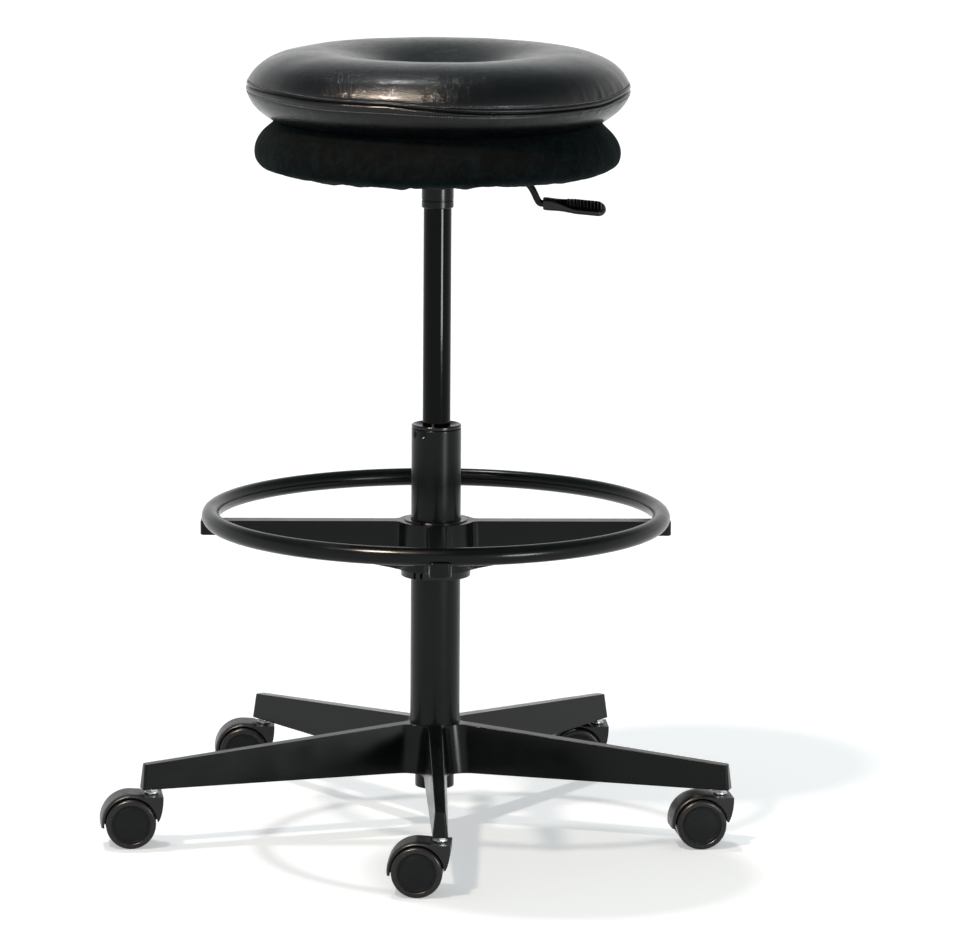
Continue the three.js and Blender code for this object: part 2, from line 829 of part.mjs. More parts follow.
// The handle's section at a share of its length: a rounded slab that widens, thins and rolls forward.
function handleRing(share) {
  const blend = THREE.MathUtils.smoothstep(share, handleRootEndShare, handleBladeStartShare);
  const nose = Math.max((share - 1 + handleNoseShare) / handleNoseShare, 0);
  const blunt = Math.max(Math.sqrt(1 - nose ** 2), handleBluntShare);
  const halfWidth = (THREE.MathUtils.lerp(handleRootWidth, handleWidth, blend) * blunt) / 2;
  const halfHeight = (THREE.MathUtils.lerp(handleRootThickness, handleThickness, blend) * blunt) / 2;
  const squared = (value) => Math.sign(value) * Math.abs(value) ** handleSquareness;
  const axis = new THREE.Vector3(1, 0, 0);
  return Array.from({ length: handleSides }, (_, i) => {
    const angle = (2 * Math.PI * i) / handleSides;
    return new THREE.Vector3(0, squared(Math.cos(angle)) * halfWidth, squared(Math.sin(angle)) * halfHeight)
      .applyAxisAngle(axis, handleRoll * blend)
      .add(handleMiddle(share));
  });
}

function handleMiddle(share) {
  const drop = THREE.MathUtils.lerp(handleRootDrop, handleTipDrop, share);
  return new THREE.Vector3(handleStart + handleLength * share, 0, leverHeight - drop);
}

// The blind hole that the rod's straight end fills, along the handle's own slope.
function rodSocket() {
  const slope = Math.atan2(handleTipDrop - handleRootDrop, handleLength);
  const depth = rodInHandle / Math.cos(slope) + fitGap;
  const low = -cutOverrun - leverRadius;
  const radius = (leverRadius + fitGap) / Math.cos(Math.PI / smallSides);
  return solid(drum(radius, low, depth, smallSides)
    .rotateY(Math.PI / 2 + slope)
    .translate(handleStart, 0, leverHeight - handleRootDrop));
}

function handleRib(index) {
  const share = 1 - (handleRibInset + index * handleRibPitch) / handleLength;
  const width = handleWidth * handleRibWidthShare;
  return solid(new THREE.BoxGeometry(handleRibPitch / 2, width, handleRibHeight * 2)
    .translate(0, 0, handleThickness / 2)
    .rotateX(handleRoll)
    .translate(...handleMiddle(share).toArray()));
}

function leverHandle() {
  const cap = fan(handleSides);
  const paddle = solid(skinned(handleStationShares.map(handleRing), cap, cap));
  const ribs = Array.from({ length: handleRibCount }, (_, i) => handleRib(i));
  return meshOf('lever_handle', cut(join(paddle, ...ribs), rodSocket()), blackNylon());
}

// Seat board with a pilot hole for each plate screw

function seatBoard() {
  const top = boardBottom + boardThickness;
  const board = solid(drum(boardRadius, boardBottom, top, largeSides));
  const holes = squareCorners(plateScrewPlace).map(([x, y]) => solid(
    drum(plateScrewRadius + fitGap, boardBottom - cutOverrun, plateTop + plateScrewLength + fitGap,
      screwSides).translate(x, y, 0),
  ));
  return meshOf('seat_board', cut(board, ...holes), birchPlywood());
}

// Suede pad: bulging sides that draw in to the crease above and to a gathered hem below.
// The board lies in its pocket, over a lip that the hem makes.
function seatPad() {
  const side = padSideShares.map(([r, z]) => [r * padRadius, padBottom + z * padHeight]);
  const pocketTop = boardBottom + boardThickness + fitGap;
  const profile = [
    [0, padTop],
    ...side,
    [padOpeningRadius, padBottom],
    [padOpeningRadius, padLipTop],
    [boardRadius + fitGap, padLipTop],
    [boardRadius + fitGap, pocketTop],
    [0, pocketTop],
  ];
  return meshOf('seat_pad', turned(profile, largeSides), blackSuede());
}

// Leather cushion: drawn-in lower panel, sewn seam round the widest line, crown, and centre dimple
function leatherCushion() {
  const place = ([r, z]) => [r * cushionRadius, cushionBottom + z * cushionHeight];
  const seam = cushionBottom + cushionSeamShare * cushionHeight;
  const profile = [
    [0, cushionBottom],
    ...cushionLowerShares.map(place),
    [cushionRadius, seam - seamHeight / 2],
    [cushionRadius - seamDepth, seam],
    [cushionRadius, seam + seamHeight / 2],
    ...cushionUpperShares.map(place),
  ];
  return meshOf('leather_cushion', turned(profile, largeSides), blackLeather());
}

// Foot ring: a bent tube on a four-arm hub, screwed from below, over a split collet on the column

function ringCollet() {
  const inner = columnRadius + fitGap;
  const sleeve = solid(turned([
    [inner, colletBottom],
    [colletFlangeRadius, colletBottom],
    [colletFlangeRadius, colletFlangeTop],
    [colletRadius, colletFlangeTop],
    [colletRadius, colletTop],
    [inner, colletTop],
  ], middleSides));
  const slit = solid(block(colletFlangeRadius, colletSlit, colletBottom - cutOverrun,
    colletTop + cutOverrun)
    .translate(colletFlangeRadius / 2 + columnRadius / 2, 0, 0)
    .rotateZ(colletSlitAngle));
  const notchDepth = colletFlangeWidth + cutOverrun;
  const notch = solid(block(notchDepth, colletNotch, colletBottom - cutOverrun, colletFlangeTop + cutOverrun)
    .translate(colletRadius + notchDepth / 2, 0, 0)
    .rotateZ(colletSlitAngle));
  return meshOf('ring_collet', cut(sleeve, slit, notch), blackNylon());
}

const armPlan = {
  count: armCount,
  turn: -Math.PI / 2 + legTurn,
  rootWidth: armWidth,
  tipWidth: armTipWidth,
  reach: armReach - padBlockLength / 2,
  waist: ringHubWaist,
  corner: armCorner,
};

const armAngle = (k) => armPlan.turn + (2 * Math.PI * k) / armCount;

// Turns a solid built along +X to lie along each arm.
function onEachArm(body) {
  return Array.from({ length: armCount }, (_, k) => (
    body.rotate([0, 0, THREE.MathUtils.radToDeg(armAngle(k))])
  ));
}

function ringTube(tubeRadius, sides) {
  return new THREE.TorusGeometry(ringRadius, tubeRadius, sides, ringSteps).translate(0, 0, ringHeight);
}

function ringHub() {
  const spider = solid(armedBody(armPlan, armDraftShare, ringHubBottom, ringHubTop));
  const rim = armReach + cutOverrun;
  const low = ringHubBottom - cutOverrun;
  const slope = (armTipBottom - ringHubBottom) / (armReach - padBlockLength - ringHubRadius);
  const rimBottom = ringHubBottom + slope * (rim - ringHubRadius);
  const under = flatSided([
    [0, low],
    [rim, low],
    [rim, rimBottom],
    [ringHubRadius, ringHubBottom],
    [0, ringHubBottom],
  ], armCount, armPlan.turn);
  const plan = roundedSquare(padBlockLength, padBlockWidth, padBlockCorner);
  const pad = solid(raised(plan, armTipBottom, ringHubTop)
    .translate(armReach - padBlockLength / 2, 0, 0));
  const hub = solid(drum(ringHubRadius, ringHubBottom, ringHubTop, middleSides));
  const body = join(cut(spider, under), hub, ...onEachArm(pad));
  const bore = solid(drum(colletRadius + fitGap, low, ringHubTop + cutOverrun, middleSides));
  const saddle = solid(ringTube(ringTubeRadius + fitGap, ringTubeSides));
  const screwHole = solid(drum(ringScrewRadius + fitGap, armTipBottom - cutOverrun,
    ringHeight, screwSides).translate(ringRadius, 0, 0));
  const headHole = solid(drum(ringScrewHeadRadius + fitGap, armTipBottom - cutOverrun,
    ringScrewSeat + fitGap, screwSides).translate(ringRadius, 0, 0));
  const screwHoles = [...onEachArm(screwHole), ...onEachArm(headHole)];
  return meshOf('ring_hub', cut(body, bore, saddle, ...screwHoles), blackPowderCoat());
}

function footRing() {
  const outer = solid(ringTube(ringTubeRadius, ringTubeSides));
  const inner = solid(ringTube(ringTubeRadius - ringTubeWall, ringBoreSides));
  const hole = solid(drum(ringScrewRadius + fitGap, ringHeight - ringTubeRadius - cutOverrun,
    ringHeight, screwSides).translate(ringRadius, 0, 0));
  return meshOf('foot_ring', cut(outer, inner, ...onEachArm(hole)), blackPowderCoat());
}

function ringScrew(k) {
  const headTop = ringScrewSeat;
  const tip = ringHeight - ringTubeRadius + ringTubeWall + cutOverrun;
  const geometry = turned([
    [0, headTop - ringScrewHead],
    [ringScrewHeadRadius, headTop - ringScrewHead],
    [ringScrewHeadRadius, headTop],
    [ringScrewRadius, headTop],
    [ringScrewRadius, tip],
    [0, tip],
  ], screwSides).translate(ringRadius, 0, 0).rotateZ(armAngle(k));
  return meshOf(`ring_screw_${k + 1}`, geometry, blackOxideSteel());
}

// Casters: each is drawn about its stem, trailing towards -X, and set under its leg

function casterStem(index) {
  const washerBottom = landHeight + fitGap;
  const washerTop = washerBottom + washerThickness;
  const geometry = turned([
    [0, landHeight - spigotLength],
    [spigotRadius, landHeight - spigotLength],
    [spigotRadius, washerBottom],
    [washerRadius, washerBottom],
    [washerRadius, washerTop],
    [nutRadius, washerTop],
    [nutRadius, legUnderside - fitGap],
    [stemRadius, legUnderside - fitGap],
    [stemRadius, legUnderside + stemInLeg],
    [0, legUnderside + stemInLeg],
  ], smallSides);
  return meshOf(`caster_${index}_stem`, geometry, zincSteel());
}

// The side view of the hood, the land that the stem enters and the skirt ahead of the wheels.
function hoodOutline(lowered) {
  const axisX = -casterTrail;
  const inside = webRadius + wheelShoulder;
  const skirtX = landFront - skirtDraw;
  const skirtZ = landHeight - skirtDrop;
  const outer = hoodRadius - lowered;
  const shape = new THREE.Shape();
  shape.moveTo(
    axisX + pocketRadius * Math.cos(hoodRearAngle),
    wheelRadius + pocketRadius * Math.sin(hoodRearAngle),
  );
  shape.absarc(axisX, wheelRadius, outer, hoodRearAngle, Math.PI / 2, true);
  shape.lineTo(-landRear, wheelRadius + outer - landStep);
  shape.lineTo(-landRear, landHeight);
  shape.lineTo(landFront, landHeight);
  shape.quadraticCurveTo(landFront, landHeight - skirtDrop * (1 - skirtBellyShare), skirtX, skirtZ);
  shape.lineTo(axisX + inside, wheelRadius);
  shape.lineTo(axisX - inside, wheelRadius);
  return shape;
}

// The hood at full height over its middle, falling away towards both sides.
function hoodShell() {
  const side = hoodWidth / 2;
  const flat = side - hoodEdgeWidth;
  const outlines = [0, hoodEdgeDrop].map((lowered) => outlinePoints(hoodOutline(lowered)).reverse());
  const rings = [[side, 1], [flat, 0], [-flat, 0], [-side, 1]].map(([y, index]) => (
    outlines[index].map((p) => new THREE.Vector3(p.x, y, p.y))
  ));
  const cap = THREE.ShapeUtils.triangulateShape(outlines[1], []);
  return solid(skinned(rings, cap, cap));
}

function casterHousing(index) {
  const shell = hoodShell();
  const web = solid(crossBar(webRadius, -casterTrail, wheelRadius, -webThickness / 2,
    webThickness / 2, mediumSides));
  const far = hoodWidth / 2 + cutOverrun;
  const near = webThickness / 2;
  const pockets = [[-far, -near], [near, far]].map(([from, to]) => (
    solid(crossBar(pocketRadius, -casterTrail, wheelRadius, from, to, mediumSides))
  ));
  const axleBore = solid(crossBar(axleRadius + fitGap, -casterTrail, wheelRadius, -far, far));
  const stemBore = solid(drum(spigotRadius + fitGap, landHeight - spigotLength - fitGap,
    landHeight + cutOverrun, smallSides));
  const body = cut(join(shell, web), ...pockets, axleBore, stemBore);
  return meshOf(`caster_${index}_housing`, body, blackNylon());
}

function casterAxle(index) {
  const geometry = crossBar(axleRadius, -casterTrail, wheelRadius, -axleHalf, axleHalf);
  return meshOf(`caster_${index}_axle`, geometry, zincSteel());
}

// A wheel on one side of its housing. Its flats stand wheelRadius from the axle, one of them down.
function casterWheel(index, side, name) {
  const fit = 1 / Math.cos(Math.PI / wheelSides);
  const rim = wheelRadius * fit;
  const shoulder = rim - wheelShoulder;
  const bore = (axleRadius + fitGap) * fit;
  const geometry = turned([
    [bore, wheelInner],
    [rim, wheelInner],
    [rim, wheelOuter - wheelShoulder],
    [shoulder, wheelOuter],
    [wheelDiscRadius, wheelOuter],
    [wheelDiscRadius, wheelOuter - wheelDiscRecess],
    [0, wheelOuter - wheelDiscRecess],
    [0, wheelOuter - axleCover],
    [bore, wheelOuter - axleCover],
  ], wheelSides, Math.PI / wheelSides)
    .rotateX(side * Math.PI / 2)
    .translate(-casterTrail, 0, wheelRadius);
  return meshOf(`caster_${index}_wheel_${name}`, geometry, charcoalTread());
}

function caster(k) {
  const index = k + 1;
  const group = new THREE.Group();
  group.add(
    casterStem(index),
    casterHousing(index),
    casterAxle(index),
    casterWheel(index, 1, 'front'),
    casterWheel(index, -1, 'back'),
  );
  const angle = legAngle(k);
  group.position.set(stemCircleRadius * Math.cos(angle), stemCircleRadius * Math.sin(angle), 0);
  group.rotation.z = casterTurns[k];
  return group;
}

// The whole stool, about the column axis

function stoolParts() {
  const group = new THREE.Group();
  group.add(starBase(), columnTube(), guideBushing(), thrustBearing());
  group.add(pistonRod(), bumpStop(), retainingClip());
  group.add(gasCylinder(), releaseButton(), seatPlate(), leverPivotPin());
  squareCorners(plateScrewPlace).forEach((corner, i) => group.add(plateScrew(i + 1, corner)));
  group.add(leverRod(), leverHandle(), seatBoard(), seatPad(), leatherCushion());
  group.add(ringCollet(), ringHub(), footRing());
  for (let k = 0; k < armCount; k += 1) group.add(ringScrew(k));
  for (let k = 0; k < legCount; k += 1) group.add(caster(k));
  return group;
}

// The origin is the middle of the stool's footprint on the floor. The casters all trail one way,
// so the footprint's middle lies a little off the column axis.
function centredOnFootprint(parts) {
  parts.updateMatrixWorld(true);
  const middle = new THREE.Box3().setFromObject(parts, true).getCenter(new THREE.Vector3());
  parts.position.set(-middle.x, -middle.y, 0);
  const group = new THREE.Group();
  group.name = 'perch_stool';
  group.add(parts);
  return group;
}

export default centredOnFootprint(stoolParts());
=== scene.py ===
"""Perch stool: a leather cushion and a suede pad on a gas lift, with a foot ring and a star base on casters.

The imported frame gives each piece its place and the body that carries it. The classes below build finer
pieces around it, in millimetres about the column's axis, and dress every surface.
"""

import json
import logging
import math
from collections.abc import Callable, Iterable, Sequence
from dataclasses import dataclass, field
from enum import Enum

import bmesh
import bpy
import numpy as np
from mathutils import Matrix, Vector, noise

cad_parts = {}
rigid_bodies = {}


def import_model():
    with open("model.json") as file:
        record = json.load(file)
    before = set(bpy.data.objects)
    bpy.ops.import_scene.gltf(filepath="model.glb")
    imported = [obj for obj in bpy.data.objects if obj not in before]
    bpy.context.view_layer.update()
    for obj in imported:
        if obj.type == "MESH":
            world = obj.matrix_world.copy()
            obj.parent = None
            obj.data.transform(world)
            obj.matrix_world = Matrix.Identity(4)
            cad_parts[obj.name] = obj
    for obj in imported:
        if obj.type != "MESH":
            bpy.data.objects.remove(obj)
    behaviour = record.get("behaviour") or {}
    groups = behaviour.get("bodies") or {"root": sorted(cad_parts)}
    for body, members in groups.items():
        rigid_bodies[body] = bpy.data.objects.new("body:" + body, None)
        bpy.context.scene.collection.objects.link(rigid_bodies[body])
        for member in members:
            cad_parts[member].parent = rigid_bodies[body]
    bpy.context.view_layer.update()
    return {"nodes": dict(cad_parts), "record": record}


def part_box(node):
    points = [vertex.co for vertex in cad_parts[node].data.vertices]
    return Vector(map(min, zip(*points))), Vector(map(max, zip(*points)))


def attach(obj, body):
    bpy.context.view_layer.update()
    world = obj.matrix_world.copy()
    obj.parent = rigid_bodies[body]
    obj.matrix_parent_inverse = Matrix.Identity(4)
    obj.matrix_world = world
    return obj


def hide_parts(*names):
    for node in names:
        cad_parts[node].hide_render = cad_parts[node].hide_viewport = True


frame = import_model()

log = logging.getLogger("perch_stool")

MM = 0.001
FULL_TURN = 2 * math.pi
MERGE_MM = 0.001

# Sizes of the stool that more than one class needs, in millimetres and degrees
FIRST_ARM = -90 + 1.1
STEM_CIRCLE = 298.5
OVERCUT = 1.0

Point = tuple[float, float]
Place = tuple[float, float, float]
Colour = tuple[float, float, float, float]
Form = bmesh.types.BMesh
Edge = bmesh.types.BMEdge
Tree = bpy.types.NodeTree
Socket = bpy.types.NodeSocket


class Slot(Enum):
    """The record's material slots that the finishes belong to."""

    POWDER_COAT = "black_powder_coat"
    ENAMEL = "black_gloss_enamel"
    NYLON = "black_nylon"
    TREAD = "charcoal_tread"
    ZINC = "zinc_steel"
    OXIDE = "black_oxide_steel"
    LEATHER = "black_leather"
    SUEDE = "black_suede"
    RUBBER = "black_rubber"
    PLYWOOD = "birch_plywood"


# Frame


def column_axis() -> Vector:
    """The point on the floor under the middle of the column, in metres."""
    low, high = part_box("column_tube")
    return Vector(((low.x + high.x) / 2, (low.y + high.y) / 2, 0.0))


def about_column() -> Matrix:
    """What takes millimetres about the column's axis to the frame's metres."""
    return Matrix.Translation(column_axis()) @ Matrix.Scale(MM, 4)


def body_under(node: str) -> str:
    """The name of the body that carries a CAD node.

    Args:
        node: The node's name.

    Returns:
        The body's name.
    """
    bodies = frame["record"]["behaviour"]["bodies"]
    return next(body for body, members in bodies.items() if node in members)


# Colour and nodes


def linear(colour: str) -> Colour:
    """Turns an sRGB hex colour to linear light.

    Args:
        colour: Six hex digits after a hash sign.

    Returns:
        Red, green, blue and a full alpha.
    """
    parts = [int(colour[i:i + 2], 16) / 255 for i in (1, 3, 5)]
    light = [c / 12.92 if c <= 0.04045 else ((c + 0.055) / 1.055) ** 2.4 for c in parts]
    return light[0], light[1], light[2], 1.0


def per_mm(size: float) -> float:
    """The texture scale, in metres, at which a pattern repeats about every size millimetres."""
    return 1 / (size * MM)


def add_node(tree: Tree, kind: str, inputs: dict | None = None, **settings: object) -> bpy.types.Node:
    """Adds a node with its settings and links.

    Args:
        tree: The node tree to add to.
        kind: The node's type, after ShaderNode.
        inputs: What goes into each socket, by name or number: a value, or an output to link.
        settings: The node's own properties.

    Returns:
        The new node.
    """
    node = tree.nodes.new(f"ShaderNode{kind}")
    for name, value in settings.items():
        setattr(node, name, value)
    for key, value in (inputs or {}).items():
        if isinstance(value, Socket):
            tree.links.new(value, node.inputs[key])
        else:
            node.inputs[key].default_value = value
    return node


def cleared(owner: bpy.types.Material | bpy.types.World) -> Tree:
    """The empty node tree of a material or a world."""
    owner.use_nodes = True
    owner.node_tree.nodes.clear()
    return owner.node_tree


def noisy(tree: Tree, where: Socket, size: float, detail: float = 2.0, **more: float) -> bpy.types.Node:
    """A noise whose pattern repeats about every size millimetres."""
    return add_node(tree, "TexNoise", {"Vector": where, "Scale": per_mm(size), "Detail": detail, **more})


def ranged(tree: Tree, value: Socket, span: Point, onto: Point = (0.0, 1.0), soft: bool = False) -> Socket:
    """A value taken from one range onto another, with eased ends if it is soft."""
    inputs = {"Value": value, "From Min": span[0], "From Max": span[1], "To Min": onto[0], "To Max": onto[1]}
    kind = "SMOOTHSTEP" if soft else "LINEAR"
    return add_node(tree, "MapRange", inputs, interpolation_type=kind).outputs["Result"]


def blended(tree: Tree, share: Socket, first: Colour | Socket, second: Colour) -> Socket:
    """A colour that goes from the first to the second with the share."""
    return add_node(tree, "Mix", {0: share, 6: first, 7: second}, data_type="RGBA").outputs[2]


def reckoned(tree: Tree, operation: str, first: Socket, second: Socket | float = 0.0) -> Socket:
    """One step of arithmetic."""
    return add_node(tree, "Math", {0: first, 1: second}, operation=operation).outputs[0]


def bumped(tree: Tree, height: Socket, strength: float, depth: float, under: Socket | None = None) -> Socket:
    """The skin's direction under a pattern so many millimetres deep, over another that may lie under it."""
    inputs = {"Height": height, "Strength": strength, "Distance": depth * MM}
    if under is not None:
        inputs["Normal"] = under
    return add_node(tree, "Bump", inputs).outputs["Normal"]


# Finishes


@dataclass(frozen=True)
class Finish:
    """A surface as it is made: two shades that drift into each other, an uneven gloss, and a fine relief.

    Sizes are in millimetres. patch is the size of the patches of shade, smear that of the patches of gloss, which
    lies between smooth and rough, and grain that of the relief.
    """

    name: str
    slot: Slot
    dark: str
    light: str
    patch: float = 40.0
    smooth: float = 0.35
    rough: float = 0.5
    smear: float = 18.0
    grain: float = 0.8
    relief: float = 0.02
    metallic: float = 0.0
    ior: float = 1.5
    specular: float = 0.5
    sheen: float = 0.0
    sheen_colour: str = "#ffffff"

    def material(self) -> bpy.types.Material:
        """The node material, named for the finish and made once."""
        found = bpy.data.materials.get(self.name)
        if found:
            return found
        made = bpy.data.materials.new(self.name)
        tree = cleared(made)
        where = add_node(tree, "TexCoord").outputs["Object"]
        inputs = {
            "Base Color": self.colour(tree, where),
            "Roughness": self.gloss(tree, where),
            "Normal": self.surface(tree, where),
            "Metallic": self.metallic,
            "Specular IOR Level": self.specular,
            "Sheen Weight": self.sheen,
            "Sheen Roughness": 0.45,
            "Sheen Tint": linear(self.sheen_colour),
        }
        if not self.metallic:
            inputs["IOR"] = self.ior
        shader = add_node(tree, "BsdfPrincipled", inputs)
        add_node(tree, "OutputMaterial", {"Surface": shader.outputs["BSDF"]})
        return made

    def drift(self, tree: Tree, where: Socket, size: float) -> Socket:
        """A soft pattern of patches of about one size, from 0 to 1."""
        return ranged(tree, noisy(tree, where, size, 3.0).outputs["Fac"], (0.3, 0.7))

    def colour(self, tree: Tree, where: Socket) -> Socket:
        """The two shades, drifting into each other in patches."""
        return blended(tree, self.drift(tree, where, self.patch), linear(self.dark), linear(self.light))

    def gloss(self, tree: Tree, where: Socket) -> Socket:
        """Roughness that wanders between its smooth and its rough end, as handled surfaces do."""
        return ranged(tree, self.drift(tree, where, self.smear), (0.0, 1.0), (self.smooth, self.rough))

    def surface(self, tree: Tree, where: Socket) -> Socket:
        """A fine even relief."""
        return bumped(tree, noisy(tree, where, self.grain).outputs["Fac"], 0.6, self.relief)


@dataclass(frozen=True)
class Leather(Finish):
    """Full-grain leather, dyed and finished: pebbled grain, faint creases, and a soft low gloss."""

    pebble: float = 1.9
    furrow: float = 0.12
    crease: float = 9.0
    crease_depth: float = 0.6
    bend: float = 0.004

    def surface(self, tree: Tree, where: Socket) -> Socket:
        """Pebbles parted by fine furrows, over long shallow creases. The pebbles are drawn coarse enough to show."""
        creases = noisy(tree, where, self.crease)
        moved = add_node(tree, "VectorMath", {0: creases.outputs["Color"], 1: (self.bend,) * 3}, operation="MULTIPLY")
        bent = add_node(tree, "VectorMath", {0: where, 1: moved.outputs["Vector"]}, operation="ADD")
        pebbles = add_node(tree, "TexVoronoi", {"Vector": bent.outputs["Vector"], "Scale": per_mm(self.pebble)},
                           feature="DISTANCE_TO_EDGE")
        rounded = ranged(tree, pebbles.outputs["Distance"], (0.0, 0.22), soft=True)
        furrows = bumped(tree, rounded, 0.6, self.furrow)
        return bumped(tree, creases.outputs["Fac"], 0.35, self.crease_depth, furrows)


@dataclass(frozen=True)
class Suede(Finish):
    """Split suede: a raised nap that lies this way and that, so it looks mottled and takes almost no gloss."""

    nap: float = 14.0
    nap_depth: float = 1.5
    fibre: float = 1.1
    fibre_depth: float = 0.5

    def colour(self, tree: Tree, where: Socket) -> Socket:
        """Light and dark strokes of the nap, broken up by its fibres."""
        strokes = noisy(tree, where, self.nap, 5.0, Roughness=0.65, Distortion=1.2)
        edge = ranged(tree, strokes.outputs["Fac"], (0.36, 0.74), soft=True)
        return blended(tree, edge, linear(self.dark), linear(self.light))

    def surface(self, tree: Tree, where: Socket) -> Socket:
        """Short fibres over shallow brushed hollows."""
        short = bumped(tree, noisy(tree, where, self.fibre, 4.0).outputs["Fac"], 0.8, self.fibre_depth)
        return bumped(tree, noisy(tree, where, self.nap).outputs["Fac"], 0.5, self.nap_depth, short)


@dataclass(frozen=True)
class Plywood(Finish):
    """Birch plywood: long pale grain on its faces and dark glue lines between its plies."""

    ply: float = 1.5
    glue_share: float = 0.16
    glue_strength: float = 0.45
    glue: str = "#4a3320"

    def colour(self, tree: Tree, where: Socket) -> Socket:
        """Grain drawn out along X, and one glue line for each ply."""
        stretched = add_node(tree, "Mapping", {"Vector": where, "Scale": (0.08, 1.0, 1.0)}).outputs["Vector"]
        grain = noisy(tree, stretched, 2.5, 5.0, Distortion=0.4)
        face = blended(tree, grain.outputs["Fac"], linear(self.dark), linear(self.light))
        height = add_node(tree, "SeparateXYZ", {0: where}).outputs["Z"]
        part = reckoned(tree, "FRACT", reckoned(tree, "MULTIPLY", height, per_mm(self.ply)))
        line = reckoned(tree, "LESS_THAN", part, self.glue_share)
        return blended(tree, reckoned(tree, "MULTIPLY", line, self.glue_strength), face, linear(self.glue))


# Cast aluminium and steel under black polyester powder: satin and deep, with the faint orange peel of cured powder
POWDER_COAT = Finish("black_powder_coat_satin", Slot.POWDER_COAT, "#040707", "#080c0d", patch=60, smooth=0.19,
                     rough=0.26, smear=30, grain=1.6, specular=0.17)
# Stoved gloss enamel on the ground gas cylinder: nearly a mirror, with light rubbing marks
ENAMEL = Finish("black_stoved_enamel", Slot.ENAMEL, "#010303", "#030506", patch=50, smooth=0.06, rough=0.1, smear=22,
                grain=3.0, relief=0.004, specular=0.09)
# Moulded glass-filled nylon: dull, with the fine texture of a spark-eroded mould
NYLON = Finish("moulded_black_nylon", Slot.NYLON, "#090a0b", "#101112", patch=24, smooth=0.32, rough=0.42, smear=9,
               grain=0.7, relief=0.03, ior=1.53, specular=0.3)
# The wheel's moulded hub disc: the same nylon with a duller, finer texture
WHEEL_DISC = Finish("moulded_wheel_disc", Slot.NYLON, "#0b0d0f", "#111416", patch=16, smooth=0.38, rough=0.48, smear=8,
                    grain=0.6, ior=1.53, specular=0.14)
# Soft polyurethane tread: charcoal, matt, scuffed by rolling
TREAD = Finish("polyurethane_tread", Slot.TREAD, "#1c1b1b", "#252323", patch=7, smooth=0.24, rough=0.36, smear=5,
               grain=0.9, relief=0.04, specular=0.26)
# Moulded polypropylene of the handle: darker and glossier than the nylon, polished by fingers
HANDLE = Finish("moulded_polypropylene_handle", Slot.NYLON, "#040506", "#08090a", patch=12, smooth=0.17, rough=0.28,
                smear=6, grain=0.6, relief=0.01, ior=1.49, specular=0.34)
# Bright zinc plate on turned steel: a cool, slightly uneven gleam
ZINC = Finish("bright_zinc_plate", Slot.ZINC, "#a9adb0", "#d0d3d6", patch=9, smooth=0.18, rough=0.34, smear=4,
              grain=0.5, metallic=1.0)
# Black oxide on steel screws: dark, with a dry metal gleam on the edges
BLACK_OXIDE = Finish("black_oxide_steel", Slot.OXIDE, "#141516", "#1d1e20", patch=5, smooth=0.3, rough=0.45, smear=3,
                     grain=0.5, metallic=1.0)
# Acetal of the guide bush and the collet: waxy, polished by the cylinder
BUSH = Finish("black_acetal_bush", Slot.NYLON, "#040506", "#090a0c", patch=10, smooth=0.14, rough=0.24, smear=6,
              relief=0.008, ior=1.48, specular=0.3)
# Nitrile rubber of the bump stop: grey-black and quite dull
RUBBER = Finish("nitrile_rubber", Slot.RUBBER, "#101011", "#191919", patch=6, smooth=0.7, rough=0.9, smear=5,
                relief=0.06, specular=0.35)
# Waxed polyester thread: black thread given a mid-grey colour, lighter than the leather, as painted highlight so the
# stitches show as bright dots, with a bright waxy gloss
PAINTED_HIGHLIGHT_THREAD = Finish("thread_with_painted_highlight", Slot.LEATHER, "#4a4c50", "#6c6f74", patch=3, smooth=0.2, rough=0.3, smear=2,
                grain=0.4, specular=0.9)
# Full-grain leather: a soft gloss that follows the form, broken up by pebbled grain and a few creases
LEATHER = Leather("black_full_grain_leather", Slot.LEATHER, "#060809", "#0b0d10", patch=70, smooth=0.17, rough=0.24,
                  smear=35, specular=0.27)
# Split suede: the nap swallows the light, and its strokes show as dull green-grey patches
SUEDE = Suede("black_split_suede", Slot.SUEDE, "#010404", "#081517", smooth=0.85, rough=0.98, smear=20, specular=0.05,
              sheen=0.06, sheen_colour="#5c8486")
# Birch plywood: pale grain, cut edges striped by the glue
PLYWOOD = Plywood("birch_plywood_board", Slot.PLYWOOD, "#a98252", "#cfae7d", smooth=0.5, rough=0.65, smear=25,
                  grain=0.6, relief=0.05)


# Mesh tools


def shifted(x: float, y: float, z: float = 0.0) -> Matrix:
    """A move."""
    return Matrix.Translation((x, y, z))


def spun(degrees: float, axis: str = "Z") -> Matrix:
    """A turn about an axis."""
    return Matrix.Rotation(math.radians(degrees), 4, axis)


def arc(centre: Point, radius: float, start: float, end: float, count: int) -> list[Point]:
    """Points along an arc.

    Args:
        centre: The arc's centre.
        radius: Its radius.
        start: The first point's direction, in degrees.
        end: The last point's.
        count: How many points it has, both ends among them.

    Returns:
        The points.
    """
    angles = np.linspace(math.radians(start), math.radians(end), count)
    return [(centre[0] + radius * math.cos(a), centre[1] + radius * math.sin(a)) for a in angles]


def ramp(value: float, start: float, length: float) -> float:
    """A share that climbs from 0 to 1 over a length."""
    return min(max((value - start) / length, 0), 1)


def linked(name: str, data: bpy.types.ID) -> bpy.types.Object:
    """Makes an object of its data and puts it in the scene."""
    thing = bpy.data.objects.new(name, data)
    bpy.context.scene.collection.objects.link(thing)
    return thing


def kept(form: Form, name: str = "part") -> bpy.types.Mesh:
    """Keeps a form in a mesh, and frees it."""
    mesh = bpy.data.meshes.new(name)
    form.to_mesh(mesh)
    form.free()
    return mesh


